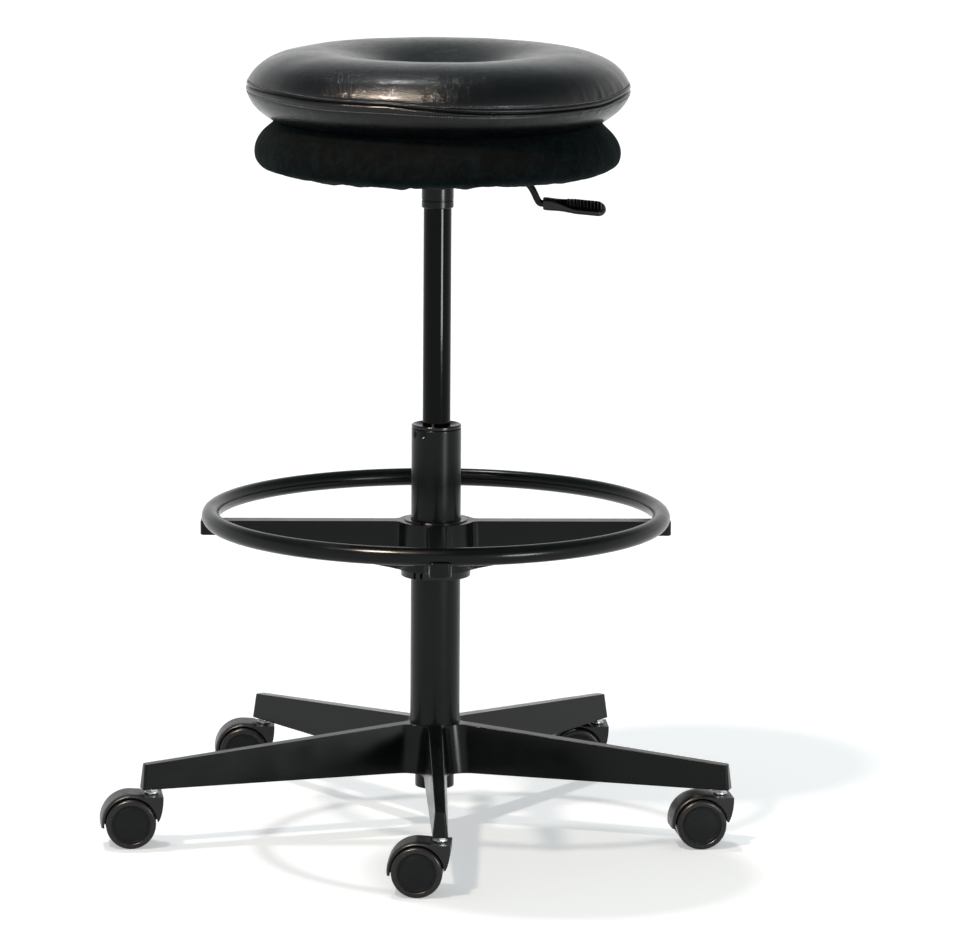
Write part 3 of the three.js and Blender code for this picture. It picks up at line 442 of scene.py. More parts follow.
def as_shown(thing: bpy.types.Object) -> Form:
    """The form of an object as its modifiers leave it."""
    bpy.context.view_layer.update()
    mesh = bpy.data.meshes.new_from_object(thing.evaluated_get(bpy.context.evaluated_depsgraph_get()))
    form = bmesh.new()
    form.from_mesh(mesh)
    bpy.data.meshes.remove(mesh)
    return form


def revolved(profile: Sequence[Point], steps: int, closed: bool = False, sweep: float = FULL_TURN) -> Form:
    """Spins a profile about Z.

    Args:
        profile: Radius and height of each point, in millimetres.
        steps: Steps in the sweep.
        closed: Whether the last point joins the first.
        sweep: How far it turns, in radians.

    Returns:
        The turned form, its poles and seam closed.
    """
    bm = bmesh.new()
    verts = [bm.verts.new((r, 0.0, z)) for r, z in profile]
    edges = [bm.edges.new(pair) for pair in zip(verts, verts[1:])]
    if closed:
        edges.append(bm.edges.new((verts[-1], verts[0])))
    bmesh.ops.spin(bm, geom=verts + edges, cent=(0, 0, 0), axis=(0, 0, 1), angle=sweep, steps=steps,
                   use_merge=sweep == FULL_TURN)
    bmesh.ops.remove_doubles(bm, verts=bm.verts, dist=MERGE_MM)
    if sweep != FULL_TURN:
        bmesh.ops.holes_fill(bm, edges=[edge for edge in bm.edges if edge.is_boundary])
    bmesh.ops.recalc_face_normals(bm, faces=bm.faces)
    return bm


def lofted(rings: Iterable[Iterable[Place]]) -> Form:
    """Bridges rings with the same number of points one after another, and closes both ends."""
    bm = bmesh.new()
    loops = []
    for ring in rings:
        verts = [bm.verts.new(point) for point in ring]
        loops.append([bm.edges.new((verts[i - 1], verts[i])) for i in range(len(verts))])
    for near, far in zip(loops, loops[1:]):
        bmesh.ops.bridge_loops(bm, edges=near + far)
    for loop in (loops[0], loops[-1]):
        bmesh.ops.contextual_create(bm, geom=loop)
    bmesh.ops.recalc_face_normals(bm, faces=bm.faces)
    return bm


def drum(radius: float, low: float, high: float, sides: int = 48) -> Form:
    """A plain round bar about Z, from one height to another, for cutting and joining."""
    bm = bmesh.new()
    bmesh.ops.create_cone(bm, cap_ends=True, segments=sides, radius1=radius, radius2=radius, depth=high - low,
                          matrix=shifted(0, 0, (low + high) / 2))
    return bm


def slab(size: Place, centre: Place) -> Form:
    """A plain block of one size about a centre, for cutting and joining."""
    bm = bmesh.new()
    bmesh.ops.create_cube(bm, size=1.0, matrix=shifted(*centre) @ Matrix.Diagonal((*size, 1.0)))
    return bm


def moved(bm: Form, matrix: Matrix) -> Form:
    """Moves a form in place and gives it back."""
    bmesh.ops.transform(bm, matrix=matrix, verts=bm.verts)
    return bm


def gathered(forms: Iterable[Form]) -> Form:
    """Puts several forms that stand apart into one."""
    whole = bmesh.new()
    for form in forms:
        mesh = kept(form)
        whole.from_mesh(mesh)
        bpy.data.meshes.remove(mesh)
    return whole


def round_copies(form: Form, count: int) -> Form:
    """Repeats a form evenly about Z, and frees the first one."""
    turns = [Matrix.Rotation(FULL_TURN * k / count, 4, "Z") for k in range(count)]
    copies = [moved(form.copy(), turn) for turn in turns]
    form.free()
    return gathered(copies)


def rise(edge: Edge) -> float:
    """How much higher one end of an edge lies than the other."""
    return abs(edge.verts[0].co.z - edge.verts[1].co.z)


def beveled(bm: Form, edges: list[Edge], width: float, segments: int, clamp: bool = True) -> Form:
    """Rounds some edges by one width. Unless clamped, it doesn't stop where two roundings meet."""
    bmesh.ops.bevel(bm, geom=edges, offset=width, offset_type="OFFSET", segments=segments, profile=0.5,
                    affect="EDGES", material=-1, clamp_overlap=clamp)
    return bm


def soften(bm: Form, width: float, segments: int = 3, sharper: float = 35.0,
           where: Callable[[Edge], bool] = lambda edge: True) -> Form:
    """Rounds the edges that are sharper than an angle.

    Args:
        bm: The form.
        width: How far the rounding reaches from the edge, in millimetres.
        segments: Facets in the rounding.
        sharper: The least angle between an edge's faces, in degrees.
        where: Which of those edges are rounded.

    Returns:
        The same form.
    """
    least = math.radians(sharper)
    edges = [e for e in bm.edges if len(e.link_faces) == 2 and e.calc_face_angle() > least and where(e)]
    return beveled(bm, edges, width, segments)


def combined(bm: Form, tool: Form, operation: str = "DIFFERENCE") -> Form:
    """Cuts one form by another, or joins them into one skin.

    Args:
        bm: The form that is kept. It is freed.
        tool: The form that cuts it or joins it. It is freed.
        operation: DIFFERENCE or UNION.

    Returns:
        The new form.
    """
    body, cutter = (linked("part", kept(part)) for part in (bm, tool))
    modifier = body.modifiers.new("combine", "BOOLEAN")
    modifier.object = cutter
    modifier.operation = operation
    modifier.solver = "EXACT"
    made = as_shown(body)
    bpy.data.batch_remove([body.data, cutter.data, body, cutter])
    return made


def dressed(name: str, bm: Form, finish: Finish, nodes: Sequence[str], place: Matrix = Matrix.Identity(4),
            crisp: float = 35.0, body: str | None = None) -> bpy.types.Object:
    """Sets a form in the frame as a finished piece.

    Args:
        name: The piece's name.
        bm: The form, in millimetres. It is freed.
        finish: What it is dressed in.
        nodes: The CAD nodes that it stands for.
        place: Where the form's own origin lies about the column's axis.
        crisp: Edges sharper than this, in degrees, keep a hard line.
        body: The body it rides on, if it stands for no node.

    Returns:
        The new object.
    """
    mesh = kept(moved(bm, about_column() @ place), name)
    mesh.shade_smooth()
    mesh.set_sharp_from_angle(angle=math.radians(crisp))
    mesh.materials.append(finish.material())
    piece = linked(name, mesh)
    even = piece.modifiers.new("even_shading", "WEIGHTED_NORMAL")
    even.keep_sharp = True
    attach(piece, body or body_under(nodes[0]))
    if nodes:
        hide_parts(*nodes)
    log.info("%s: %d faces, for %s", name, len(mesh.polygons), ", ".join(nodes) or body)
    return piece


# Castings with arms: the star base and the foot ring's hub


@dataclass
class ArmedPlan:
    """The sizes of a hub with tapered arms, with hollow fillets between them, in millimetres."""

    count: int
    root_width: float
    tip_width: float
    reach: float
    waist: float
    low: float
    high: float
    draft: float
    fillet_facets: int = 12
    hub_radius: float = 0.0
    hub_fillet: float = 6.0
    hub_facet: float = 4.5

    @property
    def half(self) -> float:
        """Half of the angle between two arms."""
        return math.pi / self.count

    def half_width(self, r: float) -> float:
        """Half of an arm's width at its foot, at a distance from the axis."""
        share = (r - self.waist) / (self.reach - self.waist)
        return (self.root_width + (self.tip_width - self.root_width) * share) / 2

    def sector(self) -> Form:
        """One arm with its share of the hub, open where the next sectors join it."""
        bm = bmesh.new()
        rows = []
        for height, inset in ((self.low, 0.0), (self.high, self.draft * (self.high - self.low))):
            edge = [*self.root(inset), (self.reach - inset, self.tip_width / 2 - inset)]
            places = [(0, 0), *[(x, -y) for x, y in edge], *reversed(edge)]
            rows.append([bm.verts.new((x, y, height)) for x, y in places])
        bm.faces.new(rows[0])
        bm.faces.new(rows[1])
        for i in range(1, len(rows[0]) - 1):
            bm.faces.new((rows[0][i], rows[0][i + 1], rows[1][i + 1], rows[1][i]))
        return bm

    def root(self, inset: float) -> list[Point]:
        """The points between the sector's side and the arm: one sharp corner, or the arc of a round hub.

        Args:
            inset: How far the draft draws the outline in.

        Returns:
            The points on the arm's left side, from the sector's side inwards.
        """
        across = self.root_width / 2 - inset
        if not self.hub_radius:
            return [(across / math.tan(self.half), across)]
        hub = self.hub_radius - inset
        angles = np.linspace(self.half, math.asin(across / hub), 3)
        return [(hub * math.cos(a), hub * math.sin(a)) for a in angles]

    def form(self) -> Form:
        """All the arms, with the corners between them filled by a fillet."""
        bm = round_copies(self.sector(), self.count)
        bmesh.ops.remove_doubles(bm, verts=bm.verts, dist=MERGE_MM)
        bmesh.ops.recalc_face_normals(bm, faces=bm.faces)
        reach = max(self.waist, self.hub_radius + 1)
        upright = [e for e in bm.edges if rise(e) > 1 and max(vert.co.xy.length for vert in e.verts) < reach]
        if not self.hub_radius:
            sine = math.sin(self.half)
            centre = (self.waist - self.root_width / 2) / (1 - sine)
            offset = (centre * sine - self.root_width / 2) / math.tan(self.half)
            return beveled(bm, upright, offset, self.fillet_facets, clamp=False)
        hollow = [edge for edge in upright if not edge.is_convex]
        crown = [edge for edge in upright if edge.is_convex]
        beveled(bm, crown, self.hub_facet, 3, clamp=False)
        hollow = [edge for edge in hollow if edge.is_valid]
        return beveled(bm, hollow, self.hub_fillet, self.fillet_facets, clamp=False)

    def sloped(self, bm: Form, start: Point, end: Point) -> Form:
        """Planes each arm off along a line in its side view.

        Args:
            bm: The form.
            start: Distance from the axis and height where the slope starts.
            end: The same at the arm's end. What lies beyond the line, away from the arm's middle, goes.

        Returns:
            The same form.
        """
        upper = start[1] > (self.low + self.high) / 2
        for k in range(self.count):
            angle = 2 * self.half * k
            turn = Matrix.Rotation(angle, 4, "Z")
            along = Vector((end[0] - start[0], 0, end[1] - start[1]))
            normal = turn @ Vector((-along.z, 0, along.x)).normalized()
            if not upper:
                normal.negate()
            faces = [face for face in bm.faces if self.in_sector(face.calc_center_median(), angle)]
            geom = list({item for face in faces for item in (face, *face.edges, *face.verts)})
            cut = bmesh.ops.bisect_plane(bm, geom=geom, dist=MERGE_MM, plane_no=normal, clear_outer=True,
                                         plane_co=turn @ Vector((start[0], 0, start[1])))
            rim = [item for item in cut["geom_cut"] if isinstance(item, Edge) and item.is_boundary]
            bmesh.ops.holes_fill(bm, edges=rim)
        bmesh.ops.recalc_face_normals(bm, faces=bm.faces)
        return bm

    def in_sector(self, point: Vector, angle: float) -> bool:
        """Whether a point lies within half a sector of an arm's direction."""
        away = math.remainder(math.atan2(point.y, point.x) - angle, FULL_TURN)
        return abs(away) <= self.half + 1e-4


@dataclass
class StarBase:
    """The cast five-leg base: drafted legs, hollow underneath between cross ribs, and a boss under the hub."""

    plan: ArmedPlan = field(default_factory=lambda: ArmedPlan(
        count=5, root_width=24.5, tip_width=15.5, reach=309.0, waist=35.0, low=57.0, high=106.0, draft=0.1))
    turn: float = FIRST_ARM
    tip_height: float = 25.0
    flat_radius: float = 36.0
    wall: float = 3.2
    rib: float = 3.0
    pocket_start: float = 46.0
    pocket_end: float = 282.0
    pocket_count: int = 4
    edge_round: float = 2.0
    column_bore: float = 25.3
    column_seat: float = 60.0
    boss_radius: float = 19.6
    boss_bore: float = 16.0
    boss_low: float = 39.5
    boss_flare: float = 5.0
    tip_round: float = 3.0
    foot_round: float = 1.0
    pocket_round: float = 1.2
    boss_round: float = 1.4
    stem_bore: float = 4.3
    stem_depth: float = 16.3

    def top_at(self, r: float) -> float:
        """The height of a leg's top face at a distance from the axis."""
        slope = (self.plan.high - self.plan.low - self.tip_height) / (self.plan.reach - self.flat_radius)
        return self.plan.high - slope * max(r - self.flat_radius, 0.0)

    def pocket(self, near: float, far: float) -> Form:
        """One hollow between two ribs, its walls drafted with the leg's."""
        rings = []
        for lift in (-1.0, None):
            ring = []
            for r, side in ((near, -1), (far, -1), (far, 1), (near, 1)):
                z = self.plan.low + lift if lift else self.top_at(r) - self.wall
                inset = self.wall + self.plan.draft * (z - self.plan.low)
                ring.append((r, side * (self.plan.half_width(r) - inset), z))
            rings.append(ring)
        return soften(lofted(rings), self.pocket_round, 2, 50,
                      lambda edge: max(v.co.z for v in edge.verts) > self.plan.low)

    def underside(self) -> Form:
        """All that is hollowed out of one leg."""
        pitch = (self.pocket_end - self.pocket_start + self.rib) / self.pocket_count
        starts = [self.pocket_start + pitch * i for i in range(self.pocket_count)]
        hollows = [self.pocket(start, start + pitch - self.rib) for start in starts]
        stem = drum(self.stem_bore, self.plan.low - OVERCUT, self.plan.low + self.stem_depth, 24)
        return gathered([*hollows, moved(stem, shifted(STEM_CIRCLE, 0))])

    def boss(self) -> Form:
        """The round boss under the hub, flared where it leaves it."""
        wide = self.boss_radius + self.boss_flare
        profile = [
            (self.boss_bore, self.column_seat - OVERCUT),
            (wide, self.column_seat - OVERCUT),
            *arc((wide, self.plan.low + OVERCUT - self.boss_flare), self.boss_flare, 90, 180, 6),
            (self.boss_radius, self.boss_low),
            (self.boss_bore, self.boss_low),
        ]
        return soften(revolved(profile, 72, closed=True), self.boss_round, 3, 60,
                      lambda edge: edge.verts[0].co.z < self.boss_low + 0.1)

    def build(self) -> None:
        """Casts the base and sets it in the frame."""
        plan = self.plan
        form = plan.sloped(plan.form(), (self.flat_radius, plan.high), (plan.reach, plan.low + self.tip_height))
        rim = plan.reach - 5
        soften(form, self.tip_round, 4, 40,
               lambda edge: min(v.co.xy.length for v in edge.verts) > rim and rise(edge) > 5)
        soften(form, self.edge_round, 4, 40, lambda edge: min(v.co.z for v in edge.verts) > plan.low + 1)
        soften(form, self.foot_round, 2, 60, lambda edge: max(v.co.z for v in edge.verts) < plan.low + 1)
        form = combined(form, self.boss(), "UNION")
        form = combined(form, gathered([
            drum(self.column_bore, self.column_seat, plan.high + OVERCUT, 96),
            drum(self.boss_bore, self.boss_low - OVERCUT, self.column_seat + OVERCUT),
        ]))
        form = combined(form, round_copies(self.underside(), plan.count))
        dressed("star_base_casting", form, POWDER_COAT, ["star_base"], spun(self.turn), crisp=32)


@dataclass
class FootRing:
    """The foot ring: a bent tube on a cast four-arm hub, clamped on the column by a split collet."""

    plan: ArmedPlan = field(default_factory=lambda: ArmedPlan(
        count=4, root_width=18.5, tip_width=19.5, reach=225.5, waist=34.5, low=264.5, high=313.0, draft=0.02,
        fillet_facets=6, hub_radius=39.5))
    turn: float = FIRST_ARM
    ring_radius: float = 226.5
    tube_radius: float = 9.0
    ring_height: float = 317.5
    ring_steps: int = 192
    tube_sides: int = 28
    arm_reach: float = 236.5
    tip_height: float = 14.5
    pad_length: float = 22.0
    pad_width: float = 21.5
    pad_corner: float = 4.0
    hub_bore: float = 32.0
    gap: float = 0.3
    collet_bore: float = 25.3
    collet_radius: float = 31.7
    collet_top: float = 314.2
    flange_radius: float = 35.0
    flange_low: float = 256.7
    flange_top: float = 264.2
    slit: float = 3.0
    notch: float = 15.0
    slit_angle: float = 243.0
    arm_round: float = 1.0
    pad_round: float = 1.2
    collet_round: float = 0.8
    screw_radius: float = 2.5
    screw_head: float = 4.5
    screw_head_height: float = 2.5
    screw_tip: float = 311.0

    def tube(self, radius: float) -> Form:
        """The ring's round tube, as thick as asked."""
        section = [FULL_TURN * i / self.tube_sides for i in range(self.tube_sides)]
        profile = [(self.ring_radius + radius * math.cos(a), self.ring_height + radius * math.sin(a)) for a in section]
        return revolved(profile, self.ring_steps, closed=True)

    def pad(self) -> Form:
        """The block at an arm's end that the tube lies on."""
        low = self.plan.high - self.tip_height
        middle = self.arm_reach - self.pad_length / 2
        block = slab((self.pad_length, self.pad_width, self.tip_height), (middle, 0, low + self.tip_height / 2))
        soften(block, self.pad_corner, 5, 60, lambda edge: rise(edge) > 5)
        return soften(block, self.pad_round, 3, 60)

    def hub(self) -> None:
        """Casts the hub with its arms, bore, saddles and screw holes."""
        plan = self.plan
        pad_low = plan.high - self.tip_height
        inner = self.arm_reach - self.pad_length
        root = plan.hub_radius
        slope = (pad_low - plan.low) / (inner - root)
        form = plan.sloped(plan.form(), (root, plan.low), (plan.reach, plan.low + slope * (plan.reach - root)))
        soften(form, self.arm_round, 3, 40)
        form = combined(form, round_copies(self.pad(), plan.count), "UNION")
        foot, seat = pad_low - OVERCUT, self.screw_seat() + self.gap
        wide, thin = self.screw_head + self.gap, self.screw_radius + self.gap
        screw_hole = revolved([(0, foot), (wide, foot), (wide, seat), (thin, seat), (thin, self.ring_height),
                               (0, self.ring_height)], 32)
        form = combined(form, gathered([
            drum(self.hub_bore, plan.low - OVERCUT, plan.high + OVERCUT, 96),
            self.tube(self.tube_radius + self.gap),
        ]))
        form = combined(form, round_copies(moved(screw_hole, shifted(self.ring_radius, 0)), plan.count))
        dressed("ring_hub_casting", form, POWDER_COAT, ["ring_hub"], spun(self.turn), crisp=32)

    def screw_seat(self) -> float:
        """The height of the face that a screw's head bears on, inside the pad."""
        return self.plan.high - self.tip_height + self.gap + self.screw_head_height

    def collet(self) -> None:
        """Turns the split collet, with its notched flange under the hub."""
        half_slit = self.slit / 2 / self.flange_radius
        profile = [
            (self.collet_bore, self.flange_low), (self.flange_radius, self.flange_low),
            (self.flange_radius, self.flange_top), (self.collet_radius, self.flange_top),
            (self.collet_radius, self.collet_top), (self.collet_bore, self.collet_top),
        ]
        form = revolved(profile, 96, closed=True, sweep=FULL_TURN - 2 * half_slit)
        form = moved(form, Matrix.Rotation(half_slit, 4, "Z"))
        soften(form, self.collet_round, 3, 50)
        depth = self.flange_radius - self.collet_radius + OVERCUT
        height = self.flange_top - self.flange_low + 0.6
        middle = (self.collet_radius + depth / 2, 0, self.flange_low - 0.5 + height / 2)
        form = combined(form, slab((depth, self.notch, height), middle))
        dressed("split_collet", form, BUSH, ["ring_collet"], spun(self.slit_angle))

    def screw(self, index: int) -> None:
        """One socket screw that holds the tube down from below."""
        form = cap_screw(self.screw_radius, self.screw_head, self.screw_head_height, self.screw_seat(), self.screw_tip)
        angle = math.radians(self.turn) + FULL_TURN * (index - 1) / self.plan.count
        place = Matrix.Rotation(angle, 4, "Z") @ shifted(self.ring_radius, 0)
        dressed(f"ring_socket_screw_{index}", form, BLACK_OXIDE, [f"ring_screw_{index}"], place)

    def build(self) -> None:
        """Builds the ring and all that carries it."""
        self.hub()
        dressed("foot_ring_tube", self.tube(self.tube_radius), POWDER_COAT, ["foot_ring"], crisp=60)
        self.collet()
        for index in range(1, self.plan.count + 1):
            self.screw(index)


def cap_screw(radius: float, head: float, head_height: float, head_top: float, tip: float) -> Form:
    """A screw whose head looks down, with a hexagon socket in it.

    Args:
        radius: The shank's radius.
        head: The head's radius.
        head_height: The head's height.
        head_top: The height of the head's inner face.
        tip: The height of the shank's end.

    Returns:
        The screw's form.
    """
    low = head_top - head_height
    form = revolved([(0, low), (head, low), (head, head_top), (radius, head_top), (radius, tip), (0, tip)], 32)
    soften(form, head_height * 0.25, 3, 60)
    return combined(form, drum(head * 0.5, low - OVERCUT, low + head_height * 0.6, 6))


# Column and gas lift


@dataclass
class Column:
    """The column tube, and the bush whose flange closes its end and whose sleeve two crimps hold."""

    radius: float = 25.0
    bore: float = 23.0
    low: float = 60.3
    top: float = 411.0
    flange: float = 3.8
    gap: float = 0.3
    floor_top: float = 63.3
    rod_hole: float = 5.3
    end_round: float = 0.9
    crimp_drop: float = 8.9
    crimp_width: float = 2.7
    crimp_height: float = 3.8
    crimp_depth: float = 2.2
    crimp_angles: tuple[float, float] = (212.5, 239.5)
    steps: int = 160
    bush_inner: float = 14.3
    bush_length: float = 88.0
    bush_round: float = 1.5
    funnel: float = 3.0

    def tube(self) -> None:
        """Spins the tube, rounds its end and presses the crimps in."""
        end = self.top - self.flange - self.gap
        fine = [self.top - d for d in np.arange(self.crimp_drop + 6, self.flange + self.gap + self.end_round, -0.8)]
        profile = [
            (self.rod_hole, self.low),
            (self.radius - 1, self.low),
            (self.radius, self.low + 1),
            *[(self.radius, z) for z in fine],
            *arc((self.radius - self.end_round, end - self.end_round), self.end_round, 0, 90, 5),
            (self.bore, end),
            (self.bore, self.floor_top),
            (self.rod_hole, self.floor_top),
        ]
        form = revolved(profile, self.steps, closed=True)
        for degrees in self.crimp_angles:
            self.press(form, math.radians(degrees))
        dressed("column_tube_drawn", form, POWDER_COAT, ["column_tube"])

    def press(self, form: Form, angle: float) -> None:
        """Presses one crimp into the tube's skin, taller than it is wide."""
        centre = Vector((self.radius * math.cos(angle), self.radius * math.sin(angle), self.top - self.crimp_drop))
        for vert in form.verts:
            away = vert.co - centre
            reach = math.hypot(away.xy.length / self.crimp_width, away.z / self.crimp_height)
            if reach < 1 and vert.co.xy.length > self.radius - 0.5:
                inward = -Vector((vert.co.x, vert.co.y, 0)).normalized()
                vert.co += inward * self.crimp_depth * (1 - reach ** 2)

    def bush(self) -> None:
        """The guide bush: a sleeve in the tube, and a rounded flange that funnels down to the cylinder."""
        low = self.top - self.bush_length
        sleeve = self.bore - self.gap
        profile = [
            (self.bush_inner, low),
            (sleeve, low),
            (sleeve, self.top - self.flange),
            (self.radius - 0.3, self.top - self.flange),
            (self.radius, self.top - self.flange + 0.3),
            *arc((self.radius - self.bush_round, self.top - self.bush_round), self.bush_round, 0, 90, 6),
            (self.radius - 3.0, self.top - 0.2),
            (self.radius - 4.5, self.top - 1.2),
            (self.bush_inner + 1.6, self.top - self.funnel + 0.3),
            (self.bush_inner + 0.4, self.top - self.funnel),
            (self.bush_inner, self.top - self.funnel - 0.6),
        ]
        dressed("guide_bush_turned", revolved(profile, 128, closed=True), BUSH, ["guide_bushing"], crisp=40)

    def build(self) -> None:
        """Builds the tube and its bush."""
        self.tube()
        self.bush()


@dataclass
class GasLift:
    """The gas cylinder with its tapered end, and the pin that the lever presses."""

    radius: float = 14.0
    bore: float = 12.3
    low: float = 311.0
    end: float = 4.0
    rod_hole: float = 5.3
    cone_low: float = 629.5
    cone_top: float = 648.0
    cone_top_radius: float = 12.6
    head: float = 16.0
    pin_bore: float = 3.2
    pin_floor: float = 636.6
    pin_radius: float = 2.9
    pin_low: float = 639.0
    pin_top: float = 653.7
    edge_round: float = 0.6

    def build(self) -> None:
        """Turns the cylinder and its pin."""
        form = revolved([
            (self.rod_hole, self.low),
            (self.radius, self.low),
            (self.radius, self.cone_low),
            (self.cone_top_radius, self.cone_top),
            (self.pin_bore, self.cone_top),
            (self.pin_bore, self.pin_floor),
            (0, self.pin_floor),
            (0, self.cone_top - self.head),
            (self.bore, self.cone_top - self.head),
            (self.bore, self.low + self.end),
            (self.rod_hole, self.low + self.end),
        ], 128, closed=True)
        soften(form, self.edge_round, 2, 60, lambda edge: edge.verts[0].co.xy.length > self.rod_hole + 1)
        dressed("gas_cylinder_ground", form, ENAMEL, ["gas_cylinder"])
        pin = revolved([(0, self.pin_low), (self.pin_radius, self.pin_low), (self.pin_radius, self.pin_top),
                        (0, self.pin_top)], 32)
        dressed("release_pin", soften(pin, self.edge_round, 3, 60), ZINC, ["release_button"])


@dataclass
class SeatPlate:
    """The pressed plate under the board, with its welded socket and the two ears that hold the lever."""

    side: float = 156.0
    corner: float = 14.0
    low: float = 665.7
    thickness: float = 2.5
    screw_place: float = 64.0
    screw_radius: float = 2.5
    screw_head: float = 5.0
    screw_head_height: float = 3.0
    screw_tip: float = 678.2
    gap: float = 0.3
    socket_radius: float = 16.0
    socket_low: float = 629.5
    mouth: float = 14.3
    throat: float = 12.9
    throat_height: float = 648.0
    groove_height: float = 637.0
    groove_depth: float = 0.5
    slot_width: float = 9.0
    slot_low: float = 652.0
    slot_high: float = 663.0
    pivot: Place = (28.0, 0.0, 657.5)
    pivot_radius: float = 1.8
    ear: Place = (12.0, 2.2, 14.0)
    ear_place: float = 5.7
    weld: float = 3.0
    edge_round: float = 0.6

    def socket(self) -> Form:
        """The socket, with a turned groove and a weld fillet under the plate."""
        r, z = self.socket_radius, self.groove_height
        profile = [
            (0, self.socket_low),
            (r - 0.8, self.socket_low),
            (r, self.socket_low + 0.8),
            (r, z - 0.8),
            (r - self.groove_depth, z - 0.3),
            (r - self.groove_depth, z + 0.3),
            (r, z + 0.8),
            *arc((r + self.weld, self.low - self.weld), self.weld, 180, 90, 5),
            (r + self.weld, self.low + OVERCUT),
            (0, self.low + OVERCUT),
        ]
        return revolved(profile, 96)

    def build(self) -> None:
        """Presses the plate, welds its socket and ears on, and drills it."""
        middle = self.low + self.thickness / 2
        form = slab((self.side, self.side, self.thickness), (0, 0, middle))
        soften(form, self.corner, 6, 60, lambda edge: rise(edge) > 1)
        soften(form, self.edge_round, 2, 60)
        form = combined(form, self.socket(), "UNION")
        ear_middle = self.low + OVERCUT - self.ear[2] / 2
        ears = [slab(self.ear, (self.pivot[0], side * self.ear_place, ear_middle)) for side in (-1, 1)]
        form = combined(form, gathered([soften(ear, self.edge_round, 2) for ear in ears]), "UNION")
        shallow, deep = self.socket_low - OVERCUT, self.low + self.thickness + OVERCUT
        bore = revolved([(0, shallow), (self.mouth, shallow), (self.mouth, self.socket_low),
                         (self.throat, self.throat_height), (self.throat, deep), (0, deep)], 96)
        form = combined(form, bore)
        slot_height = self.slot_high - self.slot_low
        reach = self.socket_radius + OVERCUT
        slot = slab((reach, self.slot_width, slot_height), (reach / 2, 0, self.slot_low + slot_height / 2))
        across = Matrix.Translation(self.pivot) @ spun(90, "X")
        pin_hole = moved(drum(self.pivot_radius, -10, 10, 24), across)
        hole = moved(drum(self.screw_radius + self.gap, self.low - OVERCUT, deep, 20),
                     shifted(self.screw_place, self.screw_place))
        for cut in (slot, pin_hole, round_copies(hole, 4)):
            form = combined(form, cut)
        dressed("seat_plate_pressed", form, POWDER_COAT, ["seat_plate"], crisp=30)
        for index, (x, y) in enumerate(((1, 1), (-1, 1), (-1, -1), (1, -1)), 1):
            screw = cap_screw(self.screw_radius, self.screw_head, self.screw_head_height, self.low - self.gap,
                              self.screw_tip)
            place = shifted(x * self.screw_place, y * self.screw_place)
            dressed(f"plate_socket_screw_{index}", screw, ZINC, [f"plate_screw_{index}"], place)


# Release lever


